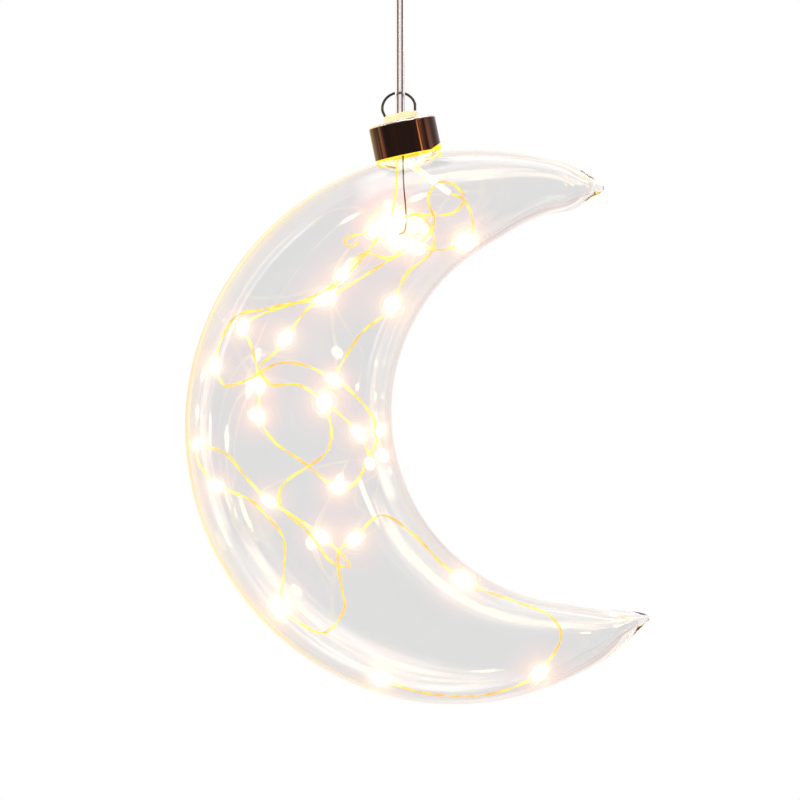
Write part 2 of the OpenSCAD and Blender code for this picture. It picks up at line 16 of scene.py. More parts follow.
import bpy
import numpy as np
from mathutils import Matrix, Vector

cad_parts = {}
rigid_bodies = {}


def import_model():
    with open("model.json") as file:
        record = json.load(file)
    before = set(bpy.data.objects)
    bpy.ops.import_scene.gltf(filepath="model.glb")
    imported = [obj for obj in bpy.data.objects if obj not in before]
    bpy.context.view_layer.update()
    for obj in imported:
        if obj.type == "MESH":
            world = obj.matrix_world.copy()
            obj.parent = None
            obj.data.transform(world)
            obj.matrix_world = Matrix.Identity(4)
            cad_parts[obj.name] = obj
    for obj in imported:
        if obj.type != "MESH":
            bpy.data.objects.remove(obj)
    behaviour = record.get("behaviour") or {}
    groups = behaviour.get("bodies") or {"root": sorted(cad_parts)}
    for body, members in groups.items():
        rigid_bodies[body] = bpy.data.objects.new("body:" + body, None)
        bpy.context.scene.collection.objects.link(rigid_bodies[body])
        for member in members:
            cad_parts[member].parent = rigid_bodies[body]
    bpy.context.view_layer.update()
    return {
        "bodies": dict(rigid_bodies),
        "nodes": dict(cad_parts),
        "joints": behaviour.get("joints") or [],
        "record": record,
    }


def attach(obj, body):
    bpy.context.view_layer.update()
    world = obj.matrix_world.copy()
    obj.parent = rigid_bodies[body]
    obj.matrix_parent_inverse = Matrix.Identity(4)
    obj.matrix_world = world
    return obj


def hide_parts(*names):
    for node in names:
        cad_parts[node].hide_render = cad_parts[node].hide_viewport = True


LOG = logging.getLogger("crescent_light")
MM = 0.001
WHITE = "#ffffff"
GLOW = "glow"
FADE = "fade"
BACK = (0.0, 1.0, 0.0)
SPARE_WAY = (0.3, 0.1, 0.9)
NO_LENGTH = 1e-6
LEAST_CUTS = 2
# A wave texture whose scale is 1 has about this many bands to the metre.
BANDS_PER_METRE = 3.14
Point = tuple[float, float, float]
Node = bpy.types.Node
Tree = bpy.types.NodeTree
Socket = bpy.types.NodeSocket
Thing = bpy.types.Object


class Body(Enum):
    """The bodies that carry new pieces."""

    CORD = "cord"
    MOON = "moon"


class Change(Enum):
    """What a tool does to a solid."""

    JOIN = "UNION"
    CUT = "DIFFERENCE"


class Slot(Enum):
    """The record's names of the finishes that new pieces take."""

    GLASS = "glass"
    JACKET = "clear_jacket"
    COPPER = "copper"
    SLEEVE = "clear_sleeve"
    LEADS = "thin_leads"
    GOLD_WIRE = "gold_wire"
    RESIN = "resin"


def linear(colour: str) -> tuple[float, float, float, float]:
    """Turns an sRGB hex colour into the linear values that a shader takes.

    Args:
        colour: The colour as #rrggbb.

    Returns:
        Red, green and blue, each from 0 to 1, and a full alpha.
    """
    shares = [int(colour[i : i + 2], 16) / 255 for i in (1, 3, 5)]
    tones = [s / 12.92 if s <= 0.04045 else ((s + 0.055) / 1.055) ** 2.4 for s in shares]
    return (*tones, 1.0)


def set_values(node: Node, values: dict[str | int, object]) -> None:
    """Sets values of a node and of its inputs.

    Args:
        node: The node.
        values: Values by name. A hex colour of an input is made linear, and "stops" are the
            places and hex colours of a colour ramp.
    """
    for name, value in values.items():
        if name == "stops":
            ramp = node.color_ramp
            while len(ramp.elements) < len(value):
                ramp.elements.new(0.5)
            for element, (place, colour) in zip(ramp.elements, value):
                element.position = place
                element.color = linear(colour)
        elif isinstance(name, str) and hasattr(node, name):
            setattr(node, name, value)
        else:
            node.inputs[name].default_value = linear(value) if isinstance(value, str) else value


def add_node(
    tree: Tree,
    kind: str,
    settings: dict[str | int, object] | None = None,
    links: dict[str | int, Socket] | None = None,
) -> Node:
    """Adds a node with its settings and links.

    Args:
        tree: The material's or the world's node tree.
        kind: The node's type.
        settings: Values by name, as set_values takes them.
        links: The output that each of its inputs takes.

    Returns:
        The new node.
    """
    node = tree.nodes.new(kind)
    set_values(node, settings or {})
    for name, output in (links or {}).items():
        tree.links.new(output, node.inputs[name])
    return node


def soft_pattern(
    tree: Tree, grain_mm: float, stretch: Point = (1, 1, 1), levels: float = 2
) -> Socket:
    """Soft irregular pattern of a real grain size.

    Args:
        tree: The material's node tree.
        grain_mm: Size of one grain.
        stretch: How many times finer the grain is along X, Y and Z.
        levels: Levels of finer grain.

    Returns:
        The pattern, from 0 to 1.
    """
    place = add_node(tree, "ShaderNodeTexCoord")
    scaled = add_node(
        tree, "ShaderNodeMapping", {"Scale": stretch}, {"Vector": place.outputs["Object"]}
    )
    return add_node(
        tree,
        "ShaderNodeTexNoise",
        {"Scale": 1 / (grain_mm * MM), "Detail": levels},
        {"Vector": scaled.outputs["Vector"]},
    ).outputs["Fac"]


# Shapes


def add_object(name: str, data: bpy.types.ID, place: Sequence[float] = (0, 0, 0)) -> Thing:
    """Adds an object to the scene.

    Args:
        name: The object's name.
        data: Its mesh, lamp or camera.
        place: Its place in millimetres.

    Returns:
        The object.
    """
    thing = bpy.data.objects.new(name, data)
    thing.location = Vector([float(v) for v in place]) * MM
    bpy.context.scene.collection.objects.link(thing)
    return thing


def mark(piece: Thing, name: str, values: Sequence[float]) -> None:
    """Keeps a number at each point of a mesh, for its finish to read."""
    kept = piece.data.attributes.new(name, "FLOAT", "POINT")
    kept.data.foreach_set("value", np.asarray(values, np.float32))


def mesh_object(name: str, points: np.ndarray, faces: Sequence[Sequence[int]]) -> Thing:
    """Makes a smooth-shaded mesh object.

    Args:
        name: The piece's name.
        points: Corner points in millimetres, one row each.
        faces: Corner numbers of each face.

    Returns:
        The object, linked to the scene.
    """
    mesh = bpy.data.meshes.new(name)
    mesh.from_pydata((np.asarray(points) * MM).tolist(), [], [list(f) for f in faces])
    mesh.shade_smooth()
    return add_object(name, mesh)


def ring_faces(rings: int, sides: int, first: int = 0) -> list[list[int]]:
    """Faces of a closed tube of rings, with an end face at each end.

    Args:
        rings: Number of rings.
        sides: Points of each ring.
        first: Number of the tube's first point.

    Returns:
        The faces' corner numbers.
    """
    faces = []
    for i in range(rings - 1):
        for k in range(sides):
            a, b = first + i * sides, first + (i + 1) * sides
            j = (k + 1) % sides
            faces.append([a + k, a + j, b + j, b + k])
    faces.append([first + k for k in reversed(range(sides))])
    faces.append([first + (rings - 1) * sides + k for k in range(sides)])
    return faces


def between(points: Sequence[np.ndarray], s: float) -> np.ndarray:
    """A point of a smooth curve through four points, between the middle two.

    Args:
        points: The four points.
        s: How far it lies from the second to the third, from 0 to 1.

    Returns:
        The point.
    """
    a, b, c, d = points
    square = (2 * a - 5 * b + 4 * c - d) * s**2
    cubic = (3 * b - a - 3 * c + d) * s**3
    return 0.5 * (2 * b + (c - a) * s + square + cubic)


def smooth_route(points: Sequence[Sequence[float]], step: float) -> np.ndarray:
    """Draws a smooth curve through the points of a route.

    Args:
        points: The route's points.
        step: About how far apart the curve's points lie.

    Returns:
        The curve's points, one row each.
    """
    p = np.array(points, float)
    p = np.vstack([2 * p[0] - p[1], p, 2 * p[-1] - p[-2]])
    out = []
    for i in range(1, len(p) - 2):
        cuts = max(LEAST_CUTS, round(np.linalg.norm(p[i + 1] - p[i]) / step))
        out += [between(p[i - 1 : i + 3], s) for s in np.linspace(0, 1, cuts, endpoint=False)]
    return np.array([*out, p[-2]])


def route_frames(route: np.ndarray) -> tuple[np.ndarray, np.ndarray]:
    """Two directions across a route at each of its points, carried along it without a twist.

    Args:
        route: The route's points.

    Returns:
        The first and the second direction at each point.
    """
    heading = np.gradient(route, axis=0)
    heading /= np.linalg.norm(heading, axis=1)[:, None]
    side, sides = np.array(BACK), []
    for h in heading:
        side = side - h * (side @ h)
        if np.linalg.norm(side) < NO_LENGTH:
            side = np.cross(h, SPARE_WAY)
        side = side / np.linalg.norm(side)
        sides.append(side)
    first = np.array(sides)
    return first, np.cross(heading, first)


def sweep(route: np.ndarray, outline: np.ndarray, swell: np.ndarray | None = None) -> np.ndarray:
    """Carries a flat outline along a route.

    Args:
        route: The route's points.
        outline: The outline's points, across and towards the back.
        swell: How much the outline grows at each point of the route.

    Returns:
        The points of all rings.
    """
    grow = np.ones(len(route)) if swell is None else swell
    rings = []
    for place, size, first, second in zip(route, grow, *route_frames(route)):
        across = np.outer(outline[:, 1], first) + np.outer(outline[:, 0], second)
        rings.append(place + size * across)
    return np.vstack(rings)


def circle(radius: float, sides: int) -> np.ndarray:
    """Points of a round outline."""
    turn = np.linspace(0, 2 * math.pi, sides, endpoint=False)
    return np.stack([radius * np.cos(turn), radius * np.sin(turn)], 1)


class Section(NamedTuple):
    """One section across the glass."""

    middle: np.ndarray
    across: np.ndarray
    half_width: float
    half_depth: float
    wall: float


@dataclass(frozen=True)
class CrescentForm:
    """The crescent's outline and its sections, from the same values as its solid."""

    outer_r: float = 100.7
    inner_r: float = 69.5
    arc_offset: float = 44
    arc_lean: float = 7.5
    belly_depth: float = 52
    belly_wall: float = 1.1
    neck_angle: float = 101.6
    disc_top_z: float = -67
    disc_top: float = 14.85
    wall_power: float = 0.8
    wall_limit: float = 0.6
    rows: tuple[tuple[float, float, float, float], ...] = (
        (59.7, 0.997, 85.6, 1.148),
        (61.4, 1.002, 87.2, 1.118),
        (63.4, 1.007, 89.4, 1.095),
        (66.1, 1.012, 91.8, 1.064),
        (69.5, 1.015, 95.2, 1.043),
        (74.5, 1.010, 100.2, 1.040),
        (80.5, 1.003, 107.5, 1.024),
        (88.5, 0.997, 116.5, 1.002),
        (97.5, 0.996, 126.5, 1),
        (108, 0.999, 135.5, 1),
        (120, 1, 144.5, 1),
        (142.5, 1, 160, 1),
        (165, 1, 174.1, 1),
        (187.5, 1, 187.5, 1),
        (210, 1, 200.9, 1),
        (232.5, 1, 215, 1),
        (255, 0.999, 230.5, 1),
        (267, 0.993, 239.5, 0.999),
        (277.5, 0.985, 247.5, 0.997),
        (287, 0.976, 255.5, 0.993),
        (294, 0.970, 262.5, 0.992),
        (299.7, 0.969, 269.8, 1.006),
        (304.5, 0.965, 275.8, 1.025),
        (308.4, 0.958, 280.2, 1.043),
        (311.2, 0.953, 284, 1.066),
        (313, 0.953, 286.2, 1.088),
        (313.7, 0.956, 287.2, 1.108),
    )

    @property
    def arc_centre(self) -> np.ndarray:
        """Centre of the outer arc, across and up.

        Returns:
            The centre.
        """
        turn = math.radians(self.neck_angle)
        reach = self.outer_r + self.disc_top
        return np.array([-reach * math.cos(turn), self.disc_top_z - reach * math.sin(turn)])

    @property
    def inner_centre(self) -> np.ndarray:
        """Centre of the inner arc, across and up."""
        lean = math.radians(self.arc_lean)
        return self.arc_centre + self.arc_offset * np.array([math.cos(lean), math.sin(lean)])

    def row(self, u: float) -> np.ndarray:
        """Smooth row of the outline at a place along it.

        Args:
            u: The place, counted in rows from the upper tip.

        Returns:
            The row's two angles and two shares.
        """
        last = len(self.rows) - 1
        i = min(math.floor(u), last - 1)
        near = [np.array(self.rows[max(0, min(last, k))]) for k in range(i - 1, i + 3)]
        return between(near, u - i)

    def section(self, u: float) -> Section:
        """The glass's section at a place along the crescent.

        Args:
            u: The place, counted in rows from the upper tip.

        Returns:
            The section.
        """
        row = self.row(u)
        turn = np.radians(row[[0, 2]])
        outer = self.arc_centre + self.outer_r * row[1] * np.array(
            [math.cos(turn[0]), math.sin(turn[0])]
        )
        inner = self.inner_centre + self.inner_r * row[3] * np.array(
            [math.cos(turn[1]), math.sin(turn[1])]
        )
        width = float(np.linalg.norm(outer - inner))
        belly = self.outer_r - self.inner_r + self.arc_offset
        fill = width / belly
        depth = width * (1 - (1 - self.belly_depth / belly) * fill * fill)
        wall = min(self.belly_wall / fill**self.wall_power, self.wall_limit * width / 2)
        return Section((outer + inner) / 2, (outer - inner) / width, width / 2, depth / 2, wall)

    def place(self, share: Sequence[float]) -> np.ndarray:
        """A point inside the glass.

        Args:
            share: Angle round the outer arc's centre, share of the half width towards the outer
                wall and share of the half depth towards the back.

        Returns:
            The point.
        """
        angles = [row[0] for row in self.rows]
        s = self.section(float(np.interp(share[0], angles, range(len(angles)))))
        flat = s.middle + s.across * s.half_width * share[1]
        return np.array([flat[0], s.half_depth * share[2], flat[1]])

    def on_neck(self, across: float, back: float, height: float) -> np.ndarray:
        """A point by the neck's axis, at a height above the crown of the outer arc.

        Args:
            across: How far to the right of the axis it lies.
            back: How far behind the axis it lies.
            height: Its height above the crown.

        Returns:
            The point.
        """
        turn = math.radians(self.neck_angle)
        up = np.array([math.cos(turn), math.sin(turn)])
        flat = self.arc_centre + (self.outer_r + height) * up + across * np.array([up[1], -up[0]])
        return np.array([flat[0], back, flat[1]])


# Finishes


@dataclass(frozen=True)
class Finish:
    """What a surface is made of and how it was made. Its relief is the height of its pattern."""

    name: str
    colour: str
    roughness: float
    metallic: float = 0.0
    relief_mm: float = 0.0

    def make(self) -> bpy.types.Material:
        """Makes the material from its plain values, its own detail and its relief.

        Returns:
            The material.
        """
        material = bpy.data.materials.new(self.name)
        material.use_nodes = True
        tree = material.node_tree
        shader = tree.nodes["Principled BSDF"]
        set_values(
            shader,
            {"Base Color": self.colour, "Roughness": self.roughness, "Metallic": self.metallic},
        )
        height = self.detail(tree, shader)
        if height is not None:
            relief = add_node(
                tree, "ShaderNodeBump", {"Distance": self.relief_mm * MM}, {"Height": height}
            )
            tree.links.new(relief.outputs["Normal"], shader.inputs["Normal"])
        return material

    def detail(self, tree: Tree, shader: Node) -> Socket | None:
        """Adds what the plain values can't give.

        Args:
            tree: The material's node tree.
            shader: Its surface shader.

        Returns:
            The pattern that stands out as its relief, if it has one.
        """

    def vary_gloss(
        self, tree: Tree, shader: Node, pattern: Socket, shares: tuple[float, float]
    ) -> None:
        """Makes the surface glossier and duller by a pattern.

        Args:
            tree: The material's node tree.
            shader: Its surface shader.
            pattern: The pattern, from 0 to 1.
            shares: The least and the greatest roughness, as shares of the finish's own.
        """
        dull = add_node(
            tree,
            "ShaderNodeMapRange",
            {"To Min": self.roughness * shares[0], "To Max": self.roughness * shares[1]},
            {"Value": pattern},
        )
        tree.links.new(dull.outputs["Result"], shader.inputs["Roughness"])


@dataclass(frozen=True)
class BlownGlass(Finish):
    """Clear soda-lime glass, blown: even gloss with slow waves from the breath and the turning."""

    relief_mm: float = 0.35
    ior: float = 1.5
    wave_mm: float = 34
    wave_stretch: Point = (1, 1, 0.6)
    wave_levels: float = 1

    def detail(self, tree: Tree, shader: Node) -> Socket:
        """Clear body, and slow waves that bend its reflections into streaks."""
        set_values(shader, {"Transmission Weight": 1, "IOR": self.ior})
        return soft_pattern(tree, self.wave_mm, self.wave_stretch, self.wave_levels)


@dataclass(frozen=True)
class DarkPlating(Finish):
    """Gunmetal plating on deep-drawn sheet metal: a dark mirror with faint drawing lines.

    The real lines are about 0.05 mm wide; they are drawn coarser, so that they show.
    """

    relief_mm: float = 0.004
    tint: str = "#5a3a24"
    patch_mm: float = 9
    patch_stretch: Point = (1, 1, 0.35)
    patch_edges: tuple[float, float] = (0.42, 0.75)
    line_mm: float = 0.5
    line_stretch: Point = (1, 1, 0.04)

    def detail(self, tree: Tree, shader: Node) -> Socket:
        """Warm patches where the plating is thin, and faint upright drawing lines.

        Args:
            tree: The material's node tree.
            shader: Its surface shader.

        Returns:
            The pattern that stands out as its relief.
        """
        patch = soft_pattern(tree, self.patch_mm, self.patch_stretch)
        stops = tuple(zip(self.patch_edges, (self.colour, self.tint)))
        plating = add_node(tree, "ShaderNodeValToRGB", {"stops": stops}, {"Fac": patch})
        tree.links.new(plating.outputs["Color"], shader.inputs["Base Color"])
        return soft_pattern(tree, self.line_mm, self.line_stretch)


@dataclass(frozen=True)
class LitCapPlating(DarkPlating):
    """Gunmetal plating with a pale rim painted as a highlight, and painted light on the foot and
    inner side.

    Its heights are those above the crown of the glass, along the neck. The lit foot rises on the
    right, from a share of the cap's inner radius on.
    """

    form: CrescentForm = field(default_factory=CrescentForm)
    foot: float = -0.75
    foot_light: float = 0.3
    foot_rise: float = 1.8
    foot_rise_share: float = 0.7
    inner_r: float = 11.85
    inner_top: float = 9
    # Painted light on the foot and inner side, where the string's light falls: its colour and
    # strength.
    light: str = "#ffcf00"
    strength: float = 1.5
    # Pale colour painted on the rim as a highlight, and the heights where it starts and is full.
    rim_highlight: str = "#f2ece6"
    rim_highlight_from: float = 11.15
    rim_highlight_full: float = 11.45

    def detail(self, tree: Tree, shader: Node) -> Socket:
        """Dark mirror outside, with painted light below and inside, and a highlight painted on the
        rim.

        Args:
            tree: The material's node tree.
            shader: Its surface shader.

        Returns:
            The pattern that stands out as its relief.
        """
        lines = super().detail(tree, shader)
        turn = math.radians(self.form.neck_angle)
        up = (math.cos(turn), 0, math.sin(turn))
        right = (math.sin(turn), 0, -math.cos(turn))
        crown = self.form.on_neck(0, 0, 0) * MM
        place = add_node(tree, "ShaderNodeTexCoord")
        apart = add_node(
            tree,
            "ShaderNodeVectorMath",
            {"operation": "SUBTRACT", 1: crown.tolist()},
            {0: place.outputs["Object"]},
        ).outputs["Vector"]
        height, side = (
            add_node(
                tree, "ShaderNodeVectorMath", {"operation": "DOT_PRODUCT", 1: way}, {0: apart}
            ).outputs["Value"]
            for way in (up, right)
        )
        away = add_node(
            tree, "ShaderNodeVectorMath", {"operation": "CROSS_PRODUCT", 1: up}, {0: apart}
        )
        radius = add_node(
            tree, "ShaderNodeVectorMath", {"operation": "LENGTH"}, {0: away.outputs["Vector"]}
        ).outputs["Value"]
        self.paint_rim_highlight(tree, shader, height)
        self.catch_light(tree, shader, height, side, radius)
        return lines

    def paint_rim_highlight(self, tree: Tree, shader: Node, height: Socket) -> None:
        """Paints the plating pale where the cap's side turns into its top, so that it mirrors the
        room as a painted highlight.

        Args:
            tree: The material's node tree.
            shader: Its surface shader.
            height: Each point's height.
        """
        rim = add_node(
            tree,
            "ShaderNodeMapRange",
            {"From Min": self.rim_highlight_from * MM, "From Max": self.rim_highlight_full * MM},
            {"Value": height},
        ).outputs["Result"]
        plating = shader.inputs["Base Color"].links[0].from_socket
        rim_highlit = add_node(
            tree, "ShaderNodeMix", {"data_type": "RGBA", 7: self.rim_highlight}, {0: rim, 6: plating}
        )
        tree.links.new(rim_highlit.outputs[2], shader.inputs["Base Color"])

    def catch_light(
        self, tree: Tree, shader: Node, height: Socket, side: Socket, radius: Socket
    ) -> None:
        """Paints light on the foot and the inner side as emission, where the string of lights falls
        on them.

        Args:
            tree: The material's node tree.
            shader: Its surface shader.
            height: Each point's height.
            side: How far to the right it lies.
            radius: Its distance from the neck's axis.
        """
        rise = add_node(
            tree,
            "ShaderNodeMapRange",
            {
                "From Min": self.foot_rise_share * self.inner_r * MM,
                "From Max": self.inner_r * MM,
                "To Max": self.foot_rise * MM,
            },
            {"Value": side},
        ).outputs["Result"]
        lowered = add_node(
            tree, "ShaderNodeMath", {"operation": "SUBTRACT"}, {0: height, 1: rise}
        ).outputs["Value"]
        at_foot, inside, under_top = (
            add_node(
                tree, "ShaderNodeMath", {"operation": "LESS_THAN", 1: limit * MM}, {0: value}
            ).outputs["Value"]
            for value, limit in (
                (lowered, self.foot + self.foot_light),
                (radius, self.inner_r),
                (height, self.inner_top),
            )
        )
        inner = add_node(
            tree, "ShaderNodeMath", {"operation": "MULTIPLY"}, {0: inside, 1: under_top}
        ).outputs["Value"]
        caught = add_node(
            tree, "ShaderNodeMath", {"operation": "MAXIMUM"}, {0: at_foot, 1: inner}
        ).outputs["Value"]
        power = add_node(
            tree, "ShaderNodeMath", {"operation": "MULTIPLY", 1: self.strength}, {0: caught}
        )
        set_values(shader, {"Emission Color": self.light})
        tree.links.new(power.outputs["Value"], shader.inputs["Emission Strength"])


@dataclass(frozen=True)
class MouldedPlastic(Finish):
    """Injection-moulded plastic: satin skin with a fine spark-eroded grain.

    The real grain is about 0.05 mm; it is drawn coarser, so that it shows.
    """

    relief_mm: float = 0.012
    grain_mm: float = 0.35
    ior: float = 1.49
    see_through: float = 0.0
    glow_depth_mm: float = 0.0
    glow_share: float = 0.8
    glow_spread: Point = (1.0, 0.6, 0.4)
    lit: float = 0.0
    lit_colour: str = WHITE
    lit_below: float = 0.0
    below_colour: str = "#fff0c8"
    below_from: float = -70
    below_full: float = -74

    def detail(self, tree: Tree, shader: Node) -> Socket:
        """Fine grain, light that travels inside where the plastic is translucent, and painted light
        where the string's light falls.

        Args:
            tree: The material's node tree.
            shader: Its surface shader.

        Returns:
            The pattern that stands out as its relief.
        """
        body = {
            "IOR": self.ior,
            "Transmission Weight": self.see_through,
            "Emission Color": self.lit_colour,
            "Emission Strength": self.lit,
        }
        if self.glow_depth_mm:
            body |= {
                "Subsurface Weight": self.glow_share,
                "Subsurface Radius": self.glow_spread,
                "Subsurface Scale": self.glow_depth_mm * MM,
            }
        set_values(shader, body)
        if self.lit_below:
            self.light_from_below(tree, shader)
        return soft_pattern(tree, self.grain_mm)

    def light_from_below(self, tree: Tree, shader: Node) -> None:
        """Paints light on the plastic, brighter and paler towards the string of lights.

        Args:
            tree: The material's node tree.
            shader: Its surface shader.
        """
        place = add_node(tree, "ShaderNodeTexCoord")
        apart = add_node(
            tree, "ShaderNodeSeparateXYZ", None, {"Vector": place.outputs["Object"]}
        )
        span = {"From Min": self.below_from * MM, "From Max": self.below_full * MM}
        power, share = (
            add_node(
                tree, "ShaderNodeMapRange", {**span, **ends}, {"Value": apart.outputs["Z"]}
            ).outputs["Result"]
            for ends in ({"To Min": self.lit, "To Max": self.lit_below}, {})
        )
        stops = ((0, self.lit_colour), (1, self.below_colour))
        paled = add_node(tree, "ShaderNodeValToRGB", {"stops": stops}, {"Fac": share})
        tree.links.new(paled.outputs["Color"], shader.inputs["Emission Color"])
        tree.links.new(power, shader.inputs["Emission Strength"])


@dataclass(frozen=True)
class DrawnWire(Finish):
    """Drawn metal wire: long fine die lines along it and small changes of gloss.

    The real lines are about 0.02 mm wide; they are drawn coarser, so that they show.
    """

    relief_mm: float = 0.006
    line_mm: float = 0.12
    line_stretch: Point = (1, 1, 0.15)
    line_levels: float = 3
    dull_shares: tuple[float, float] = (0.7, 1.4)

    def detail(self, tree: Tree, shader: Node) -> Socket:
        """Fine lines and patches of duller skin.

        Args:
            tree: The material's node tree.
            shader: Its surface shader.

        Returns:
            The pattern that stands out as its relief.
        """
        lines = soft_pattern(tree, self.line_mm, self.line_stretch, self.line_levels)
        self.vary_gloss(tree, shader, lines, self.dull_shares)
        return lines


@dataclass(frozen=True)
class ClearSoftPlastic(Finish):
    """Extruded clear plastic: slightly tinted, glossy, with faint die lines along it.

    The real lines are about 0.05 mm wide; they are drawn coarser, so that they show.
    """

    relief_mm: float = 0.01
    ior: float = 1.53
    clearness: float = 1.0
    line_mm: float = 0.5
    line_stretch: Point = (1, 1, 0.02)
    patch_mm: float = 3.5
    patch_edges: tuple[float, float] = (0.44, 0.66)
    lit: float = 0.0
    lit_colour: str = WHITE

    def detail(self, tree: Tree, shader: Node) -> Socket:
        """Clear body with faint lines along the extrusion, and painted light in warm and white
        patches where it is lit.

        Args:
            tree: The material's node tree.
            shader: Its surface shader.

        Returns:
            The pattern that stands out as its relief.
        """
        set_values(shader, {"Transmission Weight": self.clearness, "IOR": self.ior})
        if self.lit:
            patch = soft_pattern(tree, self.patch_mm)
            stops = tuple(zip(self.patch_edges, (WHITE, self.lit_colour)))
            glow = add_node(tree, "ShaderNodeValToRGB", {"stops": stops}, {"Fac": patch})
            tree.links.new(glow.outputs["Color"], shader.inputs["Emission Color"])
            set_values(shader, {"Emission Strength": self.lit})
        return soft_pattern(tree, self.line_mm, self.line_stretch)


@dataclass(frozen=True)
class StrandedCopper(Finish):
    """Bunched fine copper wires under clear plastic: the lay shows as slanted ridges."""

    relief_mm: float = 0.06
    lay_mm: float = 1.6
    lay_deg: float = 35
    unevenness: float = 0.6

    def detail(self, tree: Tree, shader: Node) -> Socket:
        """Slanted ridges of the lay.

        Args:
            tree: The material's node tree.
            shader: Its surface shader.

        Returns:
            The pattern that stands out as its relief.
        """
        place = add_node(tree, "ShaderNodeTexCoord")
        turned = add_node(
            tree,
            "ShaderNodeMapping",
            {"Rotation": (0, math.radians(self.lay_deg), 0)},
            {"Vector": place.outputs["Object"]},
        )
        ridges = {
            "Scale": 1 / (self.lay_mm * MM) / BANDS_PER_METRE,
            "Distortion": self.unevenness,
            "bands_direction": "Z",
        }
        return add_node(
            tree, "ShaderNodeTexWave", ridges, {"Vector": turned.outputs["Vector"]}
        ).outputs["Fac"]


@dataclass(frozen=True)
class EnamelledWire(Finish):
    """Copper wire with a gold-coloured polyurethane enamel: vivid yellow, with painted light from
    the chips.
    """

    deep: str = "#ffb400"
    pale: str = "#fff2b4"
    lit: tuple[float, float] = (0.88, 2.2)
    coat: float = 0.6
    coat_roughness: float = 0.08
    pool_mm: float = 6
    pool_edges: tuple[float, float] = (0.38, 0.6)

    def detail(self, tree: Tree, shader: Node) -> None:
        """Clear coat, pools of deeper enamel, and painted light from the chips, stronger and paler
        close to them.

        Args:
            tree: The material's node tree.
            shader: Its surface shader.
        """
        set_values(shader, {"Coat Weight": self.coat, "Coat Roughness": self.coat_roughness})
        pools = soft_pattern(tree, self.pool_mm)
        stops = tuple(zip(self.pool_edges, (self.deep, self.colour)))
        enamel = add_node(
            tree, "ShaderNodeValToRGB", {"stops": stops}, {"Fac": pools}
        ).outputs["Color"]
        near = add_node(
            tree, "ShaderNodeAttribute", {"attribute_name": GLOW, "attribute_type": "GEOMETRY"}
        ).outputs["Fac"]
        paled = add_node(
            tree, "ShaderNodeMix", {"data_type": "RGBA", 7: self.pale}, {0: near, 6: enamel}
        )
        power = add_node(
            tree,
            "ShaderNodeMapRange",
            {"To Min": self.lit[0], "To Max": self.lit[1]},
            {"Value": near},
        )
        tree.links.new(enamel, shader.inputs["Base Color"])
        tree.links.new(paled.outputs[2], shader.inputs["Emission Color"])
        tree.links.new(power.outputs["Result"], shader.inputs["Emission Strength"])


@dataclass(frozen=True)
class LitResin(Finish):
    """Clear resin drop over a lit chip: its middle is too bright to see into."""

    clearness: float = 0.5
    glow: str = "#ffe3b0"
    strength: float = 7.0

    def detail(self, tree: Tree, shader: Node) -> None:
        """Warm light, strongest over the chip.

        Args:
            tree: The material's node tree.
            shader: Its surface shader.
        """
        set_values(shader, {"Transmission Weight": self.clearness, "Emission Color": self.glow})
        lit = add_node(
            tree, "ShaderNodeAttribute", {"attribute_name": GLOW, "attribute_type": "GEOMETRY"}
        ).outputs["Fac"]
        power = add_node(
            tree, "ShaderNodeMath", {"operation": "MULTIPLY", 1: self.strength}, {0: lit}
        )
        tree.links.new(power.outputs["Value"], shader.inputs["Emission Strength"])


@dataclass(frozen=True)
class LitChip(Finish):
    """Yellow phosphor over a small diode, lit.

    The powder's real grain is about 0.02 mm; it is drawn coarser, so that it shows.
    """

    relief_mm: float = 0.01
    powder_mm: float = 0.15
    strength: float = 8.0

    def detail(self, tree: Tree, shader: Node) -> Socket:
        """Warm light from the phosphor, with its fine powder grain."""
        set_values(shader, {"Emission Color": self.colour, "Emission Strength": self.strength})
        return soft_pattern(tree, self.powder_mm)


@dataclass(frozen=True)
class PlatedSteel(Finish):
    """Bright zinc on pressed steel: a pale metal with small crystal patches."""

    relief_mm: float = 0.004
    patch_mm: float = 2.2
    dull_shares: tuple[float, float] = (0.8, 1.3)

    def detail(self, tree: Tree, shader: Node) -> Socket:
        """Crystal patches that differ a little in gloss.

        Args:
            tree: The material's node tree.
            shader: Its surface shader.

        Returns:
            The pattern that stands out as its relief.
        """
        place = add_node(tree, "ShaderNodeTexCoord")
        cells = add_node(
            tree,
            "ShaderNodeTexVoronoi",
            {"Scale": 1 / (self.patch_mm * MM)},
            {"Vector": place.outputs["Object"]},
        )
        self.vary_gloss(tree, shader, cells.outputs["Color"], self.dull_shares)
        return cells.outputs["Distance"]


def dress(frame: dict, node: str, finish: Finish) -> None:
    """Gives a CAD node its finish.

    Args:
        frame: The loaded frame.
        node: The node's name.
        finish: Its finish.
    """
    piece = frame["nodes"][node]
    material = bpy.data.materials.get(finish.name) or finish.make()
    for slot in piece.material_slots:
        slot.material = material
    LOG.info("%s: %s", node, finish.name)


def seat(piece: Thing, body: Body, slot: Slot, finish: Finish, *nodes: str) -> None:
    """Gives a new piece its finish and its place in the moving model.

    Args:
        piece: The piece, where it belongs.
        body: The body that carries it.
        slot: The record's finish that it takes; not used.
        finish: Its finish.
        nodes: The CAD nodes that it stands for.
    """
    piece.data.materials.append(bpy.data.materials.get(finish.name) or finish.make())
    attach(piece, body.value)
    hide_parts(*nodes)
    LOG.info("%s: %s, %d faces", piece.name, finish.name, len(piece.data.polygons))


# Sub-assemblies


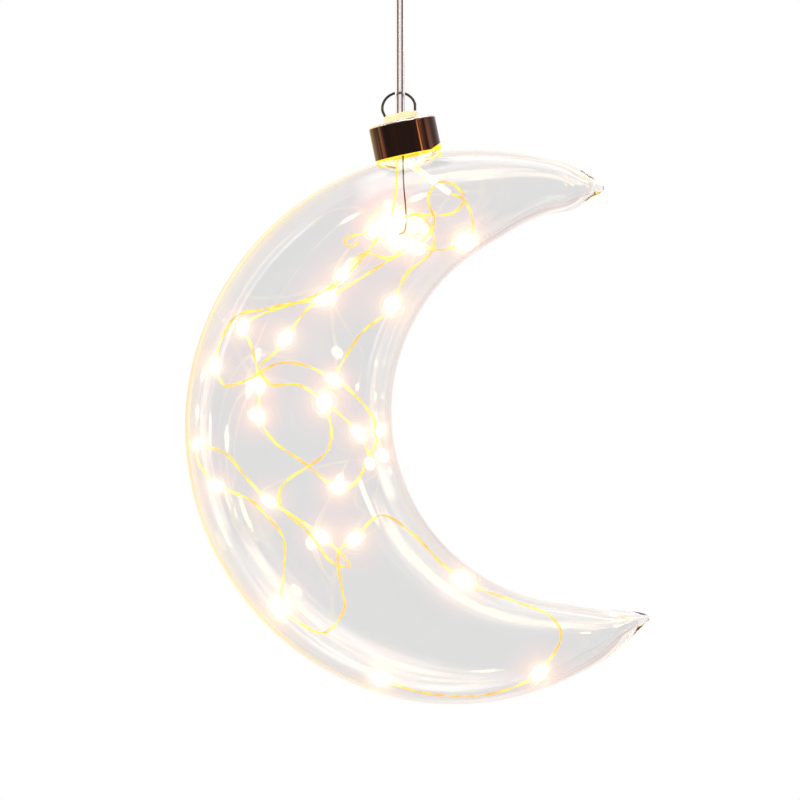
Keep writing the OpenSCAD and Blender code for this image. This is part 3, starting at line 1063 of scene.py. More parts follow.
@dataclass
class CeilingCup:
    """Ceiling plate, cup, its screws, and the bush with its nut."""

    # A dark mirror, a little duller than the cap's.
    cup: Finish = DarkPlating("gunmetal_plating_on_pressed_steel", "#2a221d", 0.16, 1.0)
    # Pale silvery grey with small changes of gloss.
    steel: Finish = PlatedSteel("bright_zinc_on_pressed_steel", "#c6c8ca", 0.3, 1.0)
    # Milky white satin.
    bush: Finish = MouldedPlastic("white_nylon_moulded", "#efece6", 0.42)

    def build(self, frame: dict) -> None:
        """Dresses the pieces at the ceiling.

        Args:
            frame: The loaded frame.
        """
        dress(frame, "ceiling_cup", self.cup)
        for node in ("ceiling_plate", "cup_screws", "bush_nut"):
            dress(frame, node, self.steel)
        dress(frame, "cord_bush", self.bush)


@dataclass
class TwinLead:
    """Clear flat twin lead with its two copper cores, its stop and its ferrule."""

    width: float = 3.6
    thickness: float = 2.0
    core_d: float = 0.95
    core_place: float = 0.774
    exit_z: float = -67
    route: tuple[Point, ...] = (
        (0, 0, -76),
        (0, 0, -68),
        (0, 0, -60),
        (0, 0, -52),
        (0, 0, -44),
        (0, 0, -36),
        (0, 0, -28),
        (0, 0, -20),
        (0, 0, -12),
    )
    core_ends: tuple[float, float] = (-77.2, -8)
    lobe_points: int = 17
    route_step: float = 2
    core_rings: int = 60
    core_sides: int = 16
    # Clear and glossy, so that only its edges show, as pale lines.
    jacket: Finish = ClearSoftPlastic("clear_pvc_extruded", "#f2eeee", 0.03)
    # Dull grey-brown strands.
    left: Finish = StrandedCopper("tinned_copper_strands", "#756b64", 0.4, 0.15)
    # Dull strands with a reddish tarnish.
    right: Finish = StrandedCopper("bare_copper_strands_tarnished", "#786264", 0.4, 0.15)
    # Pale grey metal with fine turning lines.
    crimp: Finish = DrawnWire("aluminium_turned", "#c9cacb", 0.3, 1.0)

    def outline(self) -> np.ndarray:
        """Two round lobes that meet in a waist, as a twin lead has.

        Returns:
            The outline's points.
        """
        r = self.thickness / 2
        middle = self.width / 2 - r
        meet = math.acos(-middle / r)
        lobe = np.linspace(-meet, meet, self.lobe_points)
        right = np.stack([middle + r * np.cos(lobe), r * np.sin(lobe)], 1)
        left = -right
        return np.vstack([right[:-1], left[:-1]])

    def build(self, frame: dict) -> None:
        """Args:
            frame: The loaded frame.
        """
        outline = self.outline()
        rings = sweep(smooth_route(self.route, self.route_step), outline)
        count = len(rings) // len(outline)
        jacket = mesh_object("lead_jacket", rings, ring_faces(count, len(outline)))
        seat(jacket, Body.CORD, Slot.JACKET, self.jacket, "cord_jacket")
        heights = np.linspace(*self.core_ends, self.core_rings)
        for name, side, finish in (("core_left", -1, self.left), ("core_right", 1, self.right)):
            line = np.array([[side * self.core_place, 0, z] for z in heights])
            rings = sweep(line, circle(self.core_d / 2, self.core_sides))
            core = mesh_object(name, rings, ring_faces(self.core_rings, self.core_sides))
            seat(core, Body.CORD, Slot.COPPER, finish, "cord_cores")
        for node in ("cord_stop", "cord_ferrule"):
            dress(frame, node, self.crimp)


@dataclass
class CapAndPlug:
    """Metal cap, plug with its disc, swivel, cover, seal and bail."""

    # A brown-black mirror that shows the whole room, painted pale at its rim as a highlight.
    cap: Finish = LitCapPlating(
        "gunmetal_plating_on_drawn_brass",
        "#3a2b26",
        0.05,
        1.0,
        tint="#472d22",
        relief_mm=0.0012,
    )
    # Peach-coloured and milky, with painted light that grows brighter towards the string of lights.
    plug: Finish = MouldedPlastic(
        "peach_polypropylene_moulded",
        "#ffdcc0",
        0.3,
        see_through=0.25,
        glow_depth_mm=2.0,
        lit=0.4,
        lit_colour="#ffb78a",
        lit_below=1.1,
    )
    # Milky white satin.
    white: Finish = MouldedPlastic("white_nylon_moulded", "#efece6", 0.42)
    # The same nylon with painted warm light, where the string close to it lights it.
    cover: Finish = MouldedPlastic(
        "white_nylon_moulded_lit", "#efece6", 0.42, lit=0.9, lit_colour="#fff0c0"
    )
    # Cream-coloured and soft, with the string's light painted on it.
    seal: Finish = MouldedPlastic(
        "silicone_rubber_moulded", "#efeada", 0.6, lit=1.0, lit_colour="#fff2c4"
    )
    # A thin dark line with a dull gleam.
    bail: Finish = DrawnWire("spring_steel_wire_blackened", "#4a4742", 0.3, 1.0)

    def build(self, frame: dict) -> None:
        """Dresses the pieces at the neck.

        Args:
            frame: The loaded frame.
        """
        dress(frame, "cap_shell", self.cap)
        dress(frame, "neck_plug", self.plug)
        dress(frame, "plug_cover", self.cover)
        dress(frame, "swivel_ball", self.white)
        dress(frame, "neck_seal", self.seal)
        dress(frame, "bail", self.bail)


@dataclass
class GlassCrescent:
    """Blown crescent with its neck: one wall of glass round a hollow, solid at both tips."""

    form: CrescentForm = field(default_factory=CrescentForm)
    neck_r: float = 10.4
    neck_wall: float = 1.4
    neck_root: float = 6
    neck_bore_depth: float = 12
    neck_top: float = 10.35
    solid_rows: int = 2
    ring_step: float = 1.5
    least_cuts: int = 3
    ring_gap: float = 0.05
    sides: int = 112
    skin_share: float = 0.999
    dome_rows: float = 0.8
    dome_turns: tuple[float, float] = (0.02, 1.5)
    dome_rings: int = 12
    post_rings: int = 8
    post_sides: int = 96
    overrun: float = 1
    crease_deg: float = 38
    # Clear as water: seen by its edges and by what it mirrors.
    glass: Finish = BlownGlass("soda_lime_glass_blown", "#f3f3f3", 0.0)

    def places(self, first: float, last: float) -> list[float]:
        """Places of the rings between two rows, closer together at both ends.

        Args:
            first: The first place, in rows.
            last: The last place, in rows.

        Returns:
            The places in order.
        """
        rows = self.form.rows
        turns = np.linspace(*self.dome_turns, self.dome_rings)
        fine = [first + self.dome_rows * (1 - math.cos(t)) for t in turns]
        ends = [last - (u - first) for u in reversed(fine)]
        middle = []
        for i in range(math.ceil(fine[-1]), math.floor(ends[0])):
            cuts = max(self.least_cuts, round((rows[i + 1][0] - rows[i][0]) / self.ring_step))
            middle += [i + k / cuts for k in range(cuts)]
        middle.append(math.floor(ends[0]))
        low, high = fine[-1] + self.ring_gap, ends[0] - self.ring_gap
        return [*fine, *[u for u in middle if low < u < high], *ends]

    def skin(self, name: str, first: float, last: float, depth: float) -> Thing:
        """One closed skin of the glass, with domed ends.

        Args:
            name: The object's name.
            first: Row of its first end.
            last: Row of its last end.
            depth: Share of the wall by which it lies inside the outer skin.

        Returns:
            The skin.
        """
        turn = np.linspace(0, -2 * math.pi, self.sides, endpoint=False)
        places = self.places(first, last)
        rings = []
        for u in places:
            s = self.form.section(u)
            end = min(u - first, last - u) / self.dome_rows
            dome = math.sqrt(max(0.0, 1 - (1 - min(1.0, end)) ** 2))
            w = (s.half_width * self.skin_share - depth * s.wall) * dome * np.cos(turn)
            d = (s.half_depth * self.skin_share - depth * s.wall) * dome * np.sin(turn)
            flat = s.middle[None, :] + np.outer(w, s.across)
            rings.append(np.stack([flat[:, 0], d, flat[:, 1]], 1))
        return mesh_object(name, np.vstack(rings), ring_faces(len(places), self.sides))

    def post(self, name: str, radius: float, low: float, high: float) -> Thing:
        """A straight round post on the neck's axis, between two heights.

        Args:
            name: The object's name.
            radius: Its radius.
            low: Height of its lower end above the crown.
            high: Height of its upper end above the crown.

        Returns:
            The post.
        """
        heights = np.linspace(low, high, self.post_rings)
        line = np.array([self.form.on_neck(0, 0, h) for h in heights])
        rings = sweep(line, circle(radius, self.post_sides))
        return mesh_object(name, rings, ring_faces(self.post_rings, self.post_sides))

    @staticmethod
    def combine(piece: Thing, tool: Thing, change: Change) -> None:
        """Joins a tool to a piece, or cuts the piece by it, and removes the tool.

        Args:
            piece: The piece that changes.
            tool: The other solid.
            change: What the tool does.
        """
        step = piece.modifiers.new(change.name.lower(), "BOOLEAN")
        step.operation = change.value
        step.solver = "EXACT"
        step.object = tool
        bpy.context.view_layer.update()
        done = bpy.data.meshes.new_from_object(
            piece.evaluated_get(bpy.context.evaluated_depsgraph_get())
        )
        piece.modifiers.clear()
        piece.data = done
        bpy.data.objects.remove(tool)

    def build(self) -> None:
        """Makes the glass."""
        last = len(self.form.rows) - 1
        glass = self.skin("blown_glass", 0, last, 0)
        neck = self.post("neck", self.neck_r, -self.neck_root, self.neck_top)
        self.combine(glass, neck, Change.JOIN)
        hollow = self.skin("hollow", self.solid_rows, last - self.solid_rows, 1)
        bore_r, bore_top = self.neck_r - self.neck_wall, self.neck_top + self.overrun
        bore = self.post("bore", bore_r, -self.neck_bore_depth, bore_top)
        self.combine(hollow, bore, Change.JOIN)
        self.combine(glass, hollow, Change.CUT)
        glass.data.shade_smooth()
        glass.data.set_sharp_from_angle(angle=math.radians(self.crease_deg))
        seat(glass, Body.MOON, Slot.GLASS, self.glass, "glass_crescent")


@dataclass(frozen=True)
class Bloom:
    """The glow that a small lamp has to the eye: white in the middle, then yellow, then peach."""

    falls_mm: Point = (3.4, 2.4, 2.3)
    powers: Point = (1.0, 1.2, 2.0)
    reach_mm: tuple[float, float] = (1.2, 14.5)
    steps: int = 11
    brightness: float = 1.0
    dark_share: float = 1.05

    def light_within(self, radius: float) -> np.ndarray:
        """Red, green and blue of the glow at a distance from its middle.

        Args:
            radius: The distance.

        Returns:
            The three tones.
        """
        falls, powers = np.array(self.falls_mm), np.array(self.powers)
        end = (self.reach_mm[1] * self.dark_share / falls) ** powers
        return np.exp(-((radius / falls) ** powers)) - np.exp(-end)

    def shells(self) -> list[tuple[float, np.ndarray]]:
        """Radius of each lamp, and the light that it adds.

        Returns:
            A radius and three tones for each lamp.
        """
        radii = np.linspace(*self.reach_mm, self.steps)
        light = [self.light_within(r) for r in radii]
        light.append(np.zeros(3))
        return [(float(r), light[k] - light[k + 1]) for k, r in enumerate(radii)]


@dataclass
class StringOfLights:
    """Gold twin wire in strands, resin drops over lit chips, and the leads that feed it."""

    form: CrescentForm = field(default_factory=CrescentForm)
    wire_r: float = 0.2
    wire_sides: int = 8
    wire_step: float = 1
    wire_place: float = 0.3
    twist_mm: float = 24
    lead_r: float = 0.4
    lead_sides: int = 12
    lead_step: float = 0.8
    lead_top: float = 3.85
    dark_lead: int = 1
    dark_lead_r: float = 0.28
    sleeve_r: float = 1.1
    sleeve_sides: int = 20
    sleeve_step: float = 0.6
    sleeve_end_share: float = 0.8
    drop_d: float = 3.4
    drop_len: float = 5
    drop_turn: float = 75
    drop_rings: int = 13
    drop_sides: int = 24
    drop_end_light: float = 0.35
    # Vivid yellow with painted light, paler close to each light.
    gold: Finish = EnamelledWire("gold_enamelled_copper_wire", "#ffe024", 0.3)
    # A thin brown line: painted shade on a lead that hangs in shadow.
    dark: Finish = DrawnWire("copper_lead_painted_shade", "#4a3018", 0.3)
    # Cloudy and yellowish, with the strands' light painted on it.
    clear: Finish = ClearSoftPlastic(
        "heat_shrink_tubing_clear", "#fbf6ea", 0.2, clearness=0.5, lit=0.7, lit_colour="#ffd83a"
    )
    # Glassy drops, too bright to see into.
    resin: Finish = LitResin("uv_cured_resin_lit", "#fff4dc", 0.12)
    # Warm white, the source of the light.
    chip: Finish = LitChip("phosphor_chip_lit", "#ffe28a", 0.5)
    bloom: Bloom = field(default_factory=Bloom)
    flare: Bloom = Bloom(reach_mm=(1.6, 6.4), steps=3, brightness=0.8)
    flare_mm: float = 2.5
    flare_share: float = 0.55
    neck_glow: Bloom = Bloom(
        falls_mm=(2.2, 2.0, 1.5), reach_mm=(0.8, 3.8), steps=3, brightness=0.5
    )
    neck_glow_across: tuple[float, float] = (-8.6, 9.4)
    neck_glow_places: int = 9
    neck_glow_r: float = 10.6
    neck_glow_top: float = -0.3
    neck_glow_drop: float = 4.1
    strands: dict[str, tuple[Point, ...]] = field(
        default_factory=lambda: {
            "main": (
                (96.5, 0.18, -0.1), (94, 0, -0.1), (93.5, -0.36, 0), (95, -0.64, -0.15),
                (97.5, -0.7, -0.3), (105.5, -0.62, -0.45), (112.5, -0.34, -0.25),
                (121, -0.28, -0.35), (132, -0.18, -0.5), (141.5, 0, -0.55), (147, 0.28, -0.6),
                (151, 0.5, -0.45), (154.5, 0.72, -0.3), (161, 0.78, -0.25), (166.5, 0.76, -0.3),
                (169.5, 0.68, -0.4), (170.5, 0.6, -0.45), (168.5, 0.42, -0.6), (163, 0.16, -0.7),
                (162, -0.12, -0.75), (164.5, -0.4, -0.75), (166, -0.52, -0.7),
                (169.5, -0.64, -0.6), (173.5, -0.74, -0.5), (179.5, -0.82, -0.35),
                (185.5, -0.82, -0.25), (195, -0.86, -0.2),
            ),
            "long": (
                (115, 0.1, -0.2), (110.5, 0.08, -0.25), (106, 0, -0.35), (105.5, -0.36, -0.5),
                (110, -0.56, -0.55), (120, -0.56, -0.5), (132, -0.66, -0.35), (137, -0.64, -0.4),
                (146, -0.52, -0.55), (158.5, -0.44, -0.65), (164.5, -0.4, -0.65),
                (172.5, -0.34, -0.7), (179, -0.4, -0.65), (185, -0.4, -0.45),
                (190.5, -0.3, -0.25), (195, 0.04, 0.25), (197.5, 0.18, 0.35), (200, 0.22, 0.4),
                (203, 0.22, 0.4), (212.5, 0.08, 0.15), (220.5, 0.06, -0.15), (224.5, 0, -0.25),
                (225.5, -0.08, -0.4), (221, -0.08, -0.45), (214, -0.02, -0.45),
                (206, 0.12, -0.5), (199.5, 0.3, -0.55), (194, 0.42, -0.45), (186.5, 0.6, -0.25),
                (184.5, 0.76, -0.1), (183.5, 0.88, 0), (187, 0.9, 0.1), (190, 0.84, 0.15),
                (193, 0.76, 0.15), (198, 0.48, -0.1), (203, 0.38, -0.25), (207.5, 0.32, -0.35),
                (211.5, 0.34, -0.4), (219, 0.56, -0.25), (223.5, 0.76, -0.1),
                (227.5, 0.74, -0.1), (233, 0.7, 0.1), (235, 0.58, 0.3), (234, 0.32, 0.5),
                (230.5, 0.2, 0.5), (222.5, 0, 0.3), (220, -0.12, 0.1), (220, -0.28, -0.15),
                (217.5, -0.54, -0.4), (219.5, -0.68, -0.4), (232.5, -0.8, -0.15),
                (246.5, -0.8, -0.2), (257.5, -0.78, -0.25), (268, -0.8, -0.2), (279.5, -0.8, -0.15),
                (290, -0.6, -0.15), (292, -0.04, -0.2), (286, 0.6, -0.2), (281, 0.76, -0.1),
                (275, 0.84, -0.05), (268.5, 0.86, 0), (259, 0.84, -0.05), (252.5, 0.8, -0.1),
                (250, 0.8, -0.1),
            ),
            "mid": (
                (116, -0.1, 0.15), (117, -0.2, 0.15), (118, -0.32, 0.05), (122, -0.2, -0.1),
                (125.5, 0, -0.2), (133.5, 0, -0.35), (141.5, 0, -0.5), (146.5, 0.1, -0.45),
                (156, 0.18, -0.3), (160, 0.22, -0.4), (164, 0.32, -0.45), (166, 0.32, -0.5),
                (169, 0.18, -0.6), (168, -0.08, -0.65), (172.5, -0.34, -0.65),
                (176, -0.48, -0.6), (184, -0.66, -0.5), (191, -0.72, -0.4), (197, -0.72, -0.25),
            ),
            "back": (
                (115, 0.16, 0.2), (123.5, 0, 0.45), (135.5, 0, 0.55), (145, 0.22, 0.65),
                (152, 0.52, 0.5), (156.5, 0.64, 0.45), (160, 0.5, 0.55), (169.5, 0.32, 0.7),
                (177.5, 0.3, 0.75), (184.5, 0.16, 0.75), (192, -0.1, 0.8), (202.5, -0.34, 0.75),
                (202, -0.56, 0.55), (183.5, -0.88, 0.2),
            ),
            "loop": (
                (93.5, 0.06, -0.25), (95, 0.3, -0.3), (97.5, 0.4, -0.4), (100, 0.34, -0.45),
                (102.5, 0.16, -0.5), (103.5, -0.18, -0.6), (108, -0.34, -0.45),
                (111.5, -0.34, -0.35),
            ),
            "link": (
                (94, -0.04, -0.1), (96, -0.14, -0.15), (99, -0.16, -0.15), (103, -0.08, -0.15),
                (107, 0.06, -0.05), (110.5, 0.08, 0.15),
            ),
            "curl": (
                (116, 0.1, -0.15), (118.5, 0.14, 0), (120, 0.18, 0.15), (124.5, 0.28, 0.25),
                (126.5, 0.28, 0.3), (126.5, 0.18, 0.3), (124, 0.16, 0.25),
            ),
        }
    )
    drops: dict[str, tuple[int, ...]] = field(
        default_factory=lambda: {
            "main": (4, 6, 9, 14, 20, 26),
            "long": (0, 6, 11, 24, 26, 30, 33, 39, 47, 52, 57, 63),
            "mid": (0, 5, 8, 16, 18),
            "back": (0, 5, 7, 8, 11, 13),
            "link": (5,),
            "curl": (1,),
        }
    )
    bloom_sizes: dict[str, tuple[float, ...]] = field(
        default_factory=lambda: {
            "main": (1.3, 1.0, 1.2, 0.9, 0.9, 0.6),
            "long": (1.3, 1.2, 1.2, 1.0, 0.9, 0.8, 0.9, 1.3, 1.1, 1.2, 1.1, 1.2),
            "mid": (1.3, 1.0, 1.1, 1.0, 0.6),
            "back": (1.2, 1.0, 0.9, 0.9, 0.9, 0.8),
            "link": (1.3,),
            "curl": (1.2,),
        }
    )
    near_mm: float = 7
    lead_places: tuple[tuple[float, float], ...] = ((-3, -1), (-1.2, -2), (-1.2, 1))
    lead_routes: tuple[tuple[Point, ...], ...] = (
        ((107, 0.6, 0), (109.5, 0.38, 0), (113.5, 0.16, -0.1)),
        ((105.5, 0.58, -0.1), (108.5, 0.16, -0.1), (112, -0.08, 0), (114.5, -0.08, 0.05)),
        ((103, 0.86, 0),),
    )
    sleeve: tuple[Point, ...] = ((103, 0.92, 0), (100, 0.56, -0.05), (96.5, 0.18, -0.1))

    def twin(self, name: str, route: np.ndarray) -> Thing:
        """Two wires side by side that twist slowly round each other along a route.

        Args:
            name: The object's name.
            route: The points of the pair's middle line.

        Returns:
            The twin wire.
        """
        first, second = route_frames(route)
        run = np.concatenate([[0], np.cumsum(np.linalg.norm(np.diff(route, axis=0), axis=1))])
        turn = (run / self.twist_mm * 2 * math.pi)[:, None]
        away = (first * np.cos(turn) + second * np.sin(turn)) * self.wire_place
        outline = circle(self.wire_r, self.wire_sides)
        points = np.vstack([sweep(route + away, outline), sweep(route - away, outline)])
        faces = ring_faces(len(route), self.wire_sides)
        faces += ring_faces(len(route), self.wire_sides, len(points) // 2)
        return mesh_object(name, points, faces)

    def drop_points(self, middle: np.ndarray, heading: np.ndarray) -> tuple[np.ndarray, np.ndarray]:
        """Points of one drop and how bright each is.

        Args:
            middle: The drop's middle.
            heading: The wire's direction there.

        Returns:
            The points, and each one's share of the full light.
        """
        t = np.radians(np.linspace(-self.drop_turn, self.drop_turn, self.drop_rings))
        along = self.drop_len / 2 * np.sin(t) / math.sin(math.radians(self.drop_turn))
        line = middle + np.outer(along, heading)
        rings = sweep(line, circle(1, self.drop_sides), self.drop_d / 2 * np.cos(t))
        bright = self.drop_end_light + (1 - self.drop_end_light) * np.cos(t) ** 2
        return rings, np.repeat(bright, self.drop_sides)

    def lit_places(self, strand: str) -> list[tuple[np.ndarray, np.ndarray]]:
        """Place of each light on a strand, and the wire's direction there.

        Args:
            strand: The strand's name.

        Returns:
            A place and a direction for each light.
        """
        route = np.array([self.form.place(p) for p in self.strands[strand]])
        out = []
        for i in self.drops[strand]:
            run = route[min(i + 1, len(route) - 1)] - route[max(i - 1, 0)]
            out.append((route[i], run / np.linalg.norm(run)))
        return out

    def lights(self) -> list[tuple[np.ndarray, np.ndarray, float]]:
        """Place of each light, the wire's direction there, and the size of its bloom."""
        return [
            (middle, heading, grow)
            for strand in self.drops
            for (middle, heading), grow in zip(self.lit_places(strand), self.bloom_sizes[strand])
        ]

    def build_drops(self) -> None:
        """Makes the resin drops, one mesh a strand."""
        for strand in self.drops:
            points, light, faces = [], [], []
            for middle, heading in self.lit_places(strand):
                rings, bright = self.drop_points(middle, heading)
                first = len(rings) * len(points)
                faces += ring_faces(self.drop_rings, self.drop_sides, first)
                points.append(rings)
                light.append(bright)
            piece = mesh_object(f"drops_{strand}", np.vstack(points), faces)
            mark(piece, GLOW, np.concatenate(light))
            seat(piece, Body.MOON, Slot.RESIN, self.resin, "led_drops")

    def build_blooms(self) -> None:
        """Makes the glow of each light, and its two flares along the wire."""
        for k, (middle, heading, grow) in enumerate(self.lights()):
            self.build_bloom(f"bloom_{k}", self.bloom, middle, grow)
            for side in (-1, 1):
                end = middle + side * self.flare_mm * grow * heading
                name = f"flare_{k}_{side + 1}"
                self.build_bloom(name, self.flare, end, self.flare_share * grow)

    def build_neck_glow(self) -> None:
        """Makes the glow in the thick glass at the neck's root, under the cap's foot."""
        places = np.linspace(*self.neck_glow_across, self.neck_glow_places)
        for k, across in enumerate(places):
            share = across / self.neck_glow_r
            back = -self.neck_glow_r * math.sqrt(1 - share * share)
            height = self.neck_glow_top - self.neck_glow_drop * (1 - share * share)
            place = self.form.on_neck(float(across), back, height)
            self.build_bloom(f"neck_glow_{k}", self.neck_glow, place, 1.0)

    def build_bloom(self, name: str, bloom: Bloom, middle: np.ndarray, grow: float) -> None:
        """Makes the soft bloom round one light, as lamps inside each other that add up.

        Args:
            name: The bloom's name.
            bloom: How its light falls off.
            middle: The light's place.
            grow: How much wider this bloom is than the usual one.
        """
        for i, (reach, light) in enumerate(bloom.shells()):
            label = f"bloom_{bloom.reach_mm[1]:.1f}_{i}_{grow:.2f}"
            data = bpy.data.lights.get(label)
            if data is None:
                data = bpy.data.lights.new(label, "POINT")
                full = float(light.max())
                data.color = (light / full).tolist()
                data.use_soft_falloff = False
                data.shadow_soft_size = reach * grow * MM
                area = 4 * math.pi**2 * (reach * grow * MM) ** 2
                data.energy = full * bloom.brightness * area
            lamp = add_object(f"{name}_{i}", data, middle)
            lamp.visible_diffuse = lamp.visible_glossy = lamp.visible_volume_scatter = False
            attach(lamp, Body.MOON.value)

    def light_up(self, piece: Thing, points: np.ndarray) -> None:
        """Tells a wire's finish how close each point lies to the lights, 1 at a light.

        Args:
            piece: The wire.
            points: The point of the route that each of its corners belongs to.
        """
        lights = np.array([middle for middle, _, _ in self.lights()])
        apart = np.linalg.norm(points[:, None] - lights[None], axis=2).min(axis=1)
        mark(piece, GLOW, np.exp(-((apart / self.near_mm) ** 2)))

    def build_strands(self) -> None:
        """Makes the gold twin wire, strand by strand."""
        for name, shares in self.strands.items():
            route = smooth_route([self.form.place(p) for p in shares], self.wire_step)
            strand = self.twin(f"strand_{name}", route)
            self.light_up(strand, np.tile(np.repeat(route, self.wire_sides, axis=0), (2, 1)))
            seat(strand, Body.MOON, Slot.GOLD_WIRE, self.gold, "led_wire")

    def build_leads(self) -> None:
        """Makes the thin leads from the plug to the strands, and their sleeve."""
        for i, (place, shares) in enumerate(zip(self.lead_places, self.lead_routes)):
            top = self.form.on_neck(*place, self.lead_top)
            route = smooth_route([top, *[self.form.place(p) for p in shares]], self.lead_step)
            reach = self.dark_lead_r if i == self.dark_lead else self.lead_r
            rings = sweep(route, circle(reach, self.lead_sides))
            lead = mesh_object(f"lead_{i}", rings, ring_faces(len(route), self.lead_sides))
            self.light_up(lead, np.repeat(route, self.lead_sides, axis=0))
            finish = self.dark if i == self.dark_lead else self.gold
            seat(lead, Body.MOON, Slot.LEADS, finish, "lead_wires")
        route = smooth_route([self.form.place(p) for p in self.sleeve], self.sleeve_step)
        swell = np.ones(len(route))
        swell[[0, -1]] = self.sleeve_end_share
        rings = sweep(route, circle(self.sleeve_r, self.sleeve_sides), swell)
        faces = ring_faces(len(route), self.sleeve_sides)
        sleeve = mesh_object("lead_sleeve_clear", rings, faces)
        seat(sleeve, Body.MOON, Slot.SLEEVE, self.clear, "lead_sleeve")

    def build(self, frame: dict) -> None:
        """Makes the wires, drops, glows, leads and sleeve.

        Args:
            frame: The loaded frame.
        """
        self.build_strands()
        self.build_drops()
        self.build_blooms()
        self.build_neck_glow()
        dress(frame, "led_chips", self.chip)
        self.build_leads()


@dataclass(frozen=True)
class Card:
    """A soft box, by its angles about the object, where 1 in strength is white.

    Its reach is a share of the room's radius, so that the cards hang before the cloths.
    """

    name: str
    away: tuple[float, float]
    turn: tuple[float, float]
    colour: str
    strength: float
    low: float
    grain_mm: float = 70
    reach: float = 0.95


@dataclass
class Studio:
    """Camera at the photograph's place, pale floor and backdrop, soft lamps and a round room.

    The room's cards and cloths show only in rays that were mirrored once. The borders say how
    many times a patch's soft border goes into its two lengths. Wander and shimmer are the fold's
    size, the least and the greatest value of an uneven cloth.
    """

    camera_place: Point = (0, -1800, -170.14)
    lens_mm: float = 225
    sensor_mm: float = 36
    view_depths_m: tuple[float, float] = (0.05, 50)
    room_r: float = 900
    room_away: tuple[float, float] = (0.5, 179.5)
    room_turn: tuple[float, float] = (0, 360)
    mirrors: float = 1
    mirrors_off: float = 0.5
    room_tones: tuple[tuple[float, str], ...] = (
        (0, "#a8a4a0"),
        (66, "#a29d98"),
        (77, "#aaa29a"),
        (84, "#ecdad0"),
        (92, "#ecdad4"),
        (104, "#d6c6c2"),
        (116, "#eadcd6"),
        (140, "#faf0e8"),
        (165, "#fffcf8"),
    )
    cards: tuple[Card, ...] = (
        Card("amber_strip", (48.5, 54.5), (13, 25), "#ffd08c", 17, 1.0),
        Card("cap_band_right", (78, 106), (12, 22), "#ffe2cc", 4.2, 0.9),
        Card("cap_band_left", (79, 87), (181, 190), "#ffe2cc", 2.4, 0.9),
        Card("cap_line_left", (105, 110), (181, 190), "#ffe0c8", 3.0, 0.9),
        Card("overhead_glint", (56, 116), (90, 112), "#fffaf2", 2.6, 0.9),
        Card("warm_cloth_left", (92, 178), (100, 262), "#ffe3b0", 1.6, 0.6, reach=0.98),
        Card("rose_cloth_right", (96, 170), (-75, 60), "#f0e2de", 1.15, 0.75, reach=0.98),
        Card("strip_upper_left", (74, 79), (120, 172), "#ffffff", 5, 0.3),
        Card("strip_upper_left_far", (86, 88), (124, 176), "#fff6ea", 5, 0.3),
        Card("strip_left", (78, 80), (150, 204), "#ffffff", 5, 0.2),
        Card("strip_left_mid", (90, 92), (158, 200), "#fff4e6", 5, 0.2),
        Card("strip_left_far", (99, 101), (150, 206), "#ffffff", 3, 0.2),
        Card("strip_right", (98, 101), (-32, 34), "#ffffff", 3, 0.2),
        Card("strip_right_far", (116, 119), (-36, 24), "#ffffff", 2.6, 0.2),
        Card("ceiling_card", (78, 122), (44, 104), "#fff9f0", 3.6, 0.25),
        Card("ceiling_card_low", (48, 62), (50, 90), "#fff0e2", 3.4, 0.3),
        Card("floor_card", (40, 104), (205, 290), "#ffeedc", 3.8, 0.25),
        Card("glints_right", (54, 74), (18, 62), "#ffd3a6", 10, 0.0, 13),
        Card("glints_top", (58, 72), (64, 98), "#ffd3a6", 10, 0.0, 13),
        Card("glints_low", (66, 90), (226, 286), "#ffd39c", 10, 0.0, 13),
        Card("glints_left", (84, 98), (160, 214), "#ffd8b0", 7, 0.0, 13),
    )
    patch_rows: int = 25
    column_deg: float = 4
    least_columns: int = 9
    borders: tuple[float, float] = (4, 5)
    fold_stretch: Point = (0.16, 1, 0.16)
    fold_edges: tuple[float, float] = (0.35, 0.65)
    wander: tuple[float, float, float] = (150, -0.02, 0.02)
    shimmer: tuple[float, float, float] = (90, 0.95, 1.25)
    ambient: float = 0.75
    key_place: Point = (-900, -1100, 500)
    key_size: tuple[float, float] = (500, 1200)
    key_power: float = 9
    fill_place: Point = (1100, -900, 0)
    fill_power: float = 4
    floor_z: float = -1200
    floor_half: float = 6000
    floor_colour: str = "#f2f2f2"
    floor_lift: float = 0.25
    bounces: int = 128
    clear_bounces: int = 512

    def build_camera(self) -> None:
        """Camera level with the middle of the picture."""
        data = bpy.data.cameras.new("camera")
        data.lens, data.sensor_width = self.lens_mm, self.sensor_mm
        data.clip_start, data.clip_end = self.view_depths_m
        camera = add_object("camera", data, self.camera_place)
        camera.rotation_euler = (math.radians(90), 0, 0)
        bpy.context.scene.camera = camera

    @staticmethod
    def seen_ray(tree: Tree) -> Socket:
        """1 where a ray from the camera, a gloss or a glass sees the surface, otherwise 0.

        Args:
            tree: The material's or the world's node tree.

        Returns:
            The output that says so.
        """
        path = add_node(tree, "ShaderNodeLightPath")
        gloss = add_node(
            tree,
            "ShaderNodeMath",
            {"operation": "MAXIMUM"},
            {0: path.outputs["Is Camera Ray"], 1: path.outputs["Is Glossy Ray"]},
        )
        return add_node(
            tree,
            "ShaderNodeMath",
            {"operation": "MAXIMUM"},
            {0: gloss.outputs["Value"], 1: path.outputs["Is Transmission Ray"]},
        ).outputs["Value"]

    def build_world(self) -> None:
        """White where it is seen, and an even soft light elsewhere."""
        world = bpy.data.worlds.new("backdrop")
        bpy.context.scene.world = world
        world.use_nodes = True
        tree = world.node_tree
        power = add_node(
            tree,
            "ShaderNodeMapRange",
            {"To Min": self.ambient, "To Max": 1.0},
            {"Value": self.seen_ray(tree)},
        )
        back = tree.nodes["Background"]
        set_values(back, {"Color": WHITE})
        tree.links.new(power.outputs["Result"], back.inputs["Strength"])

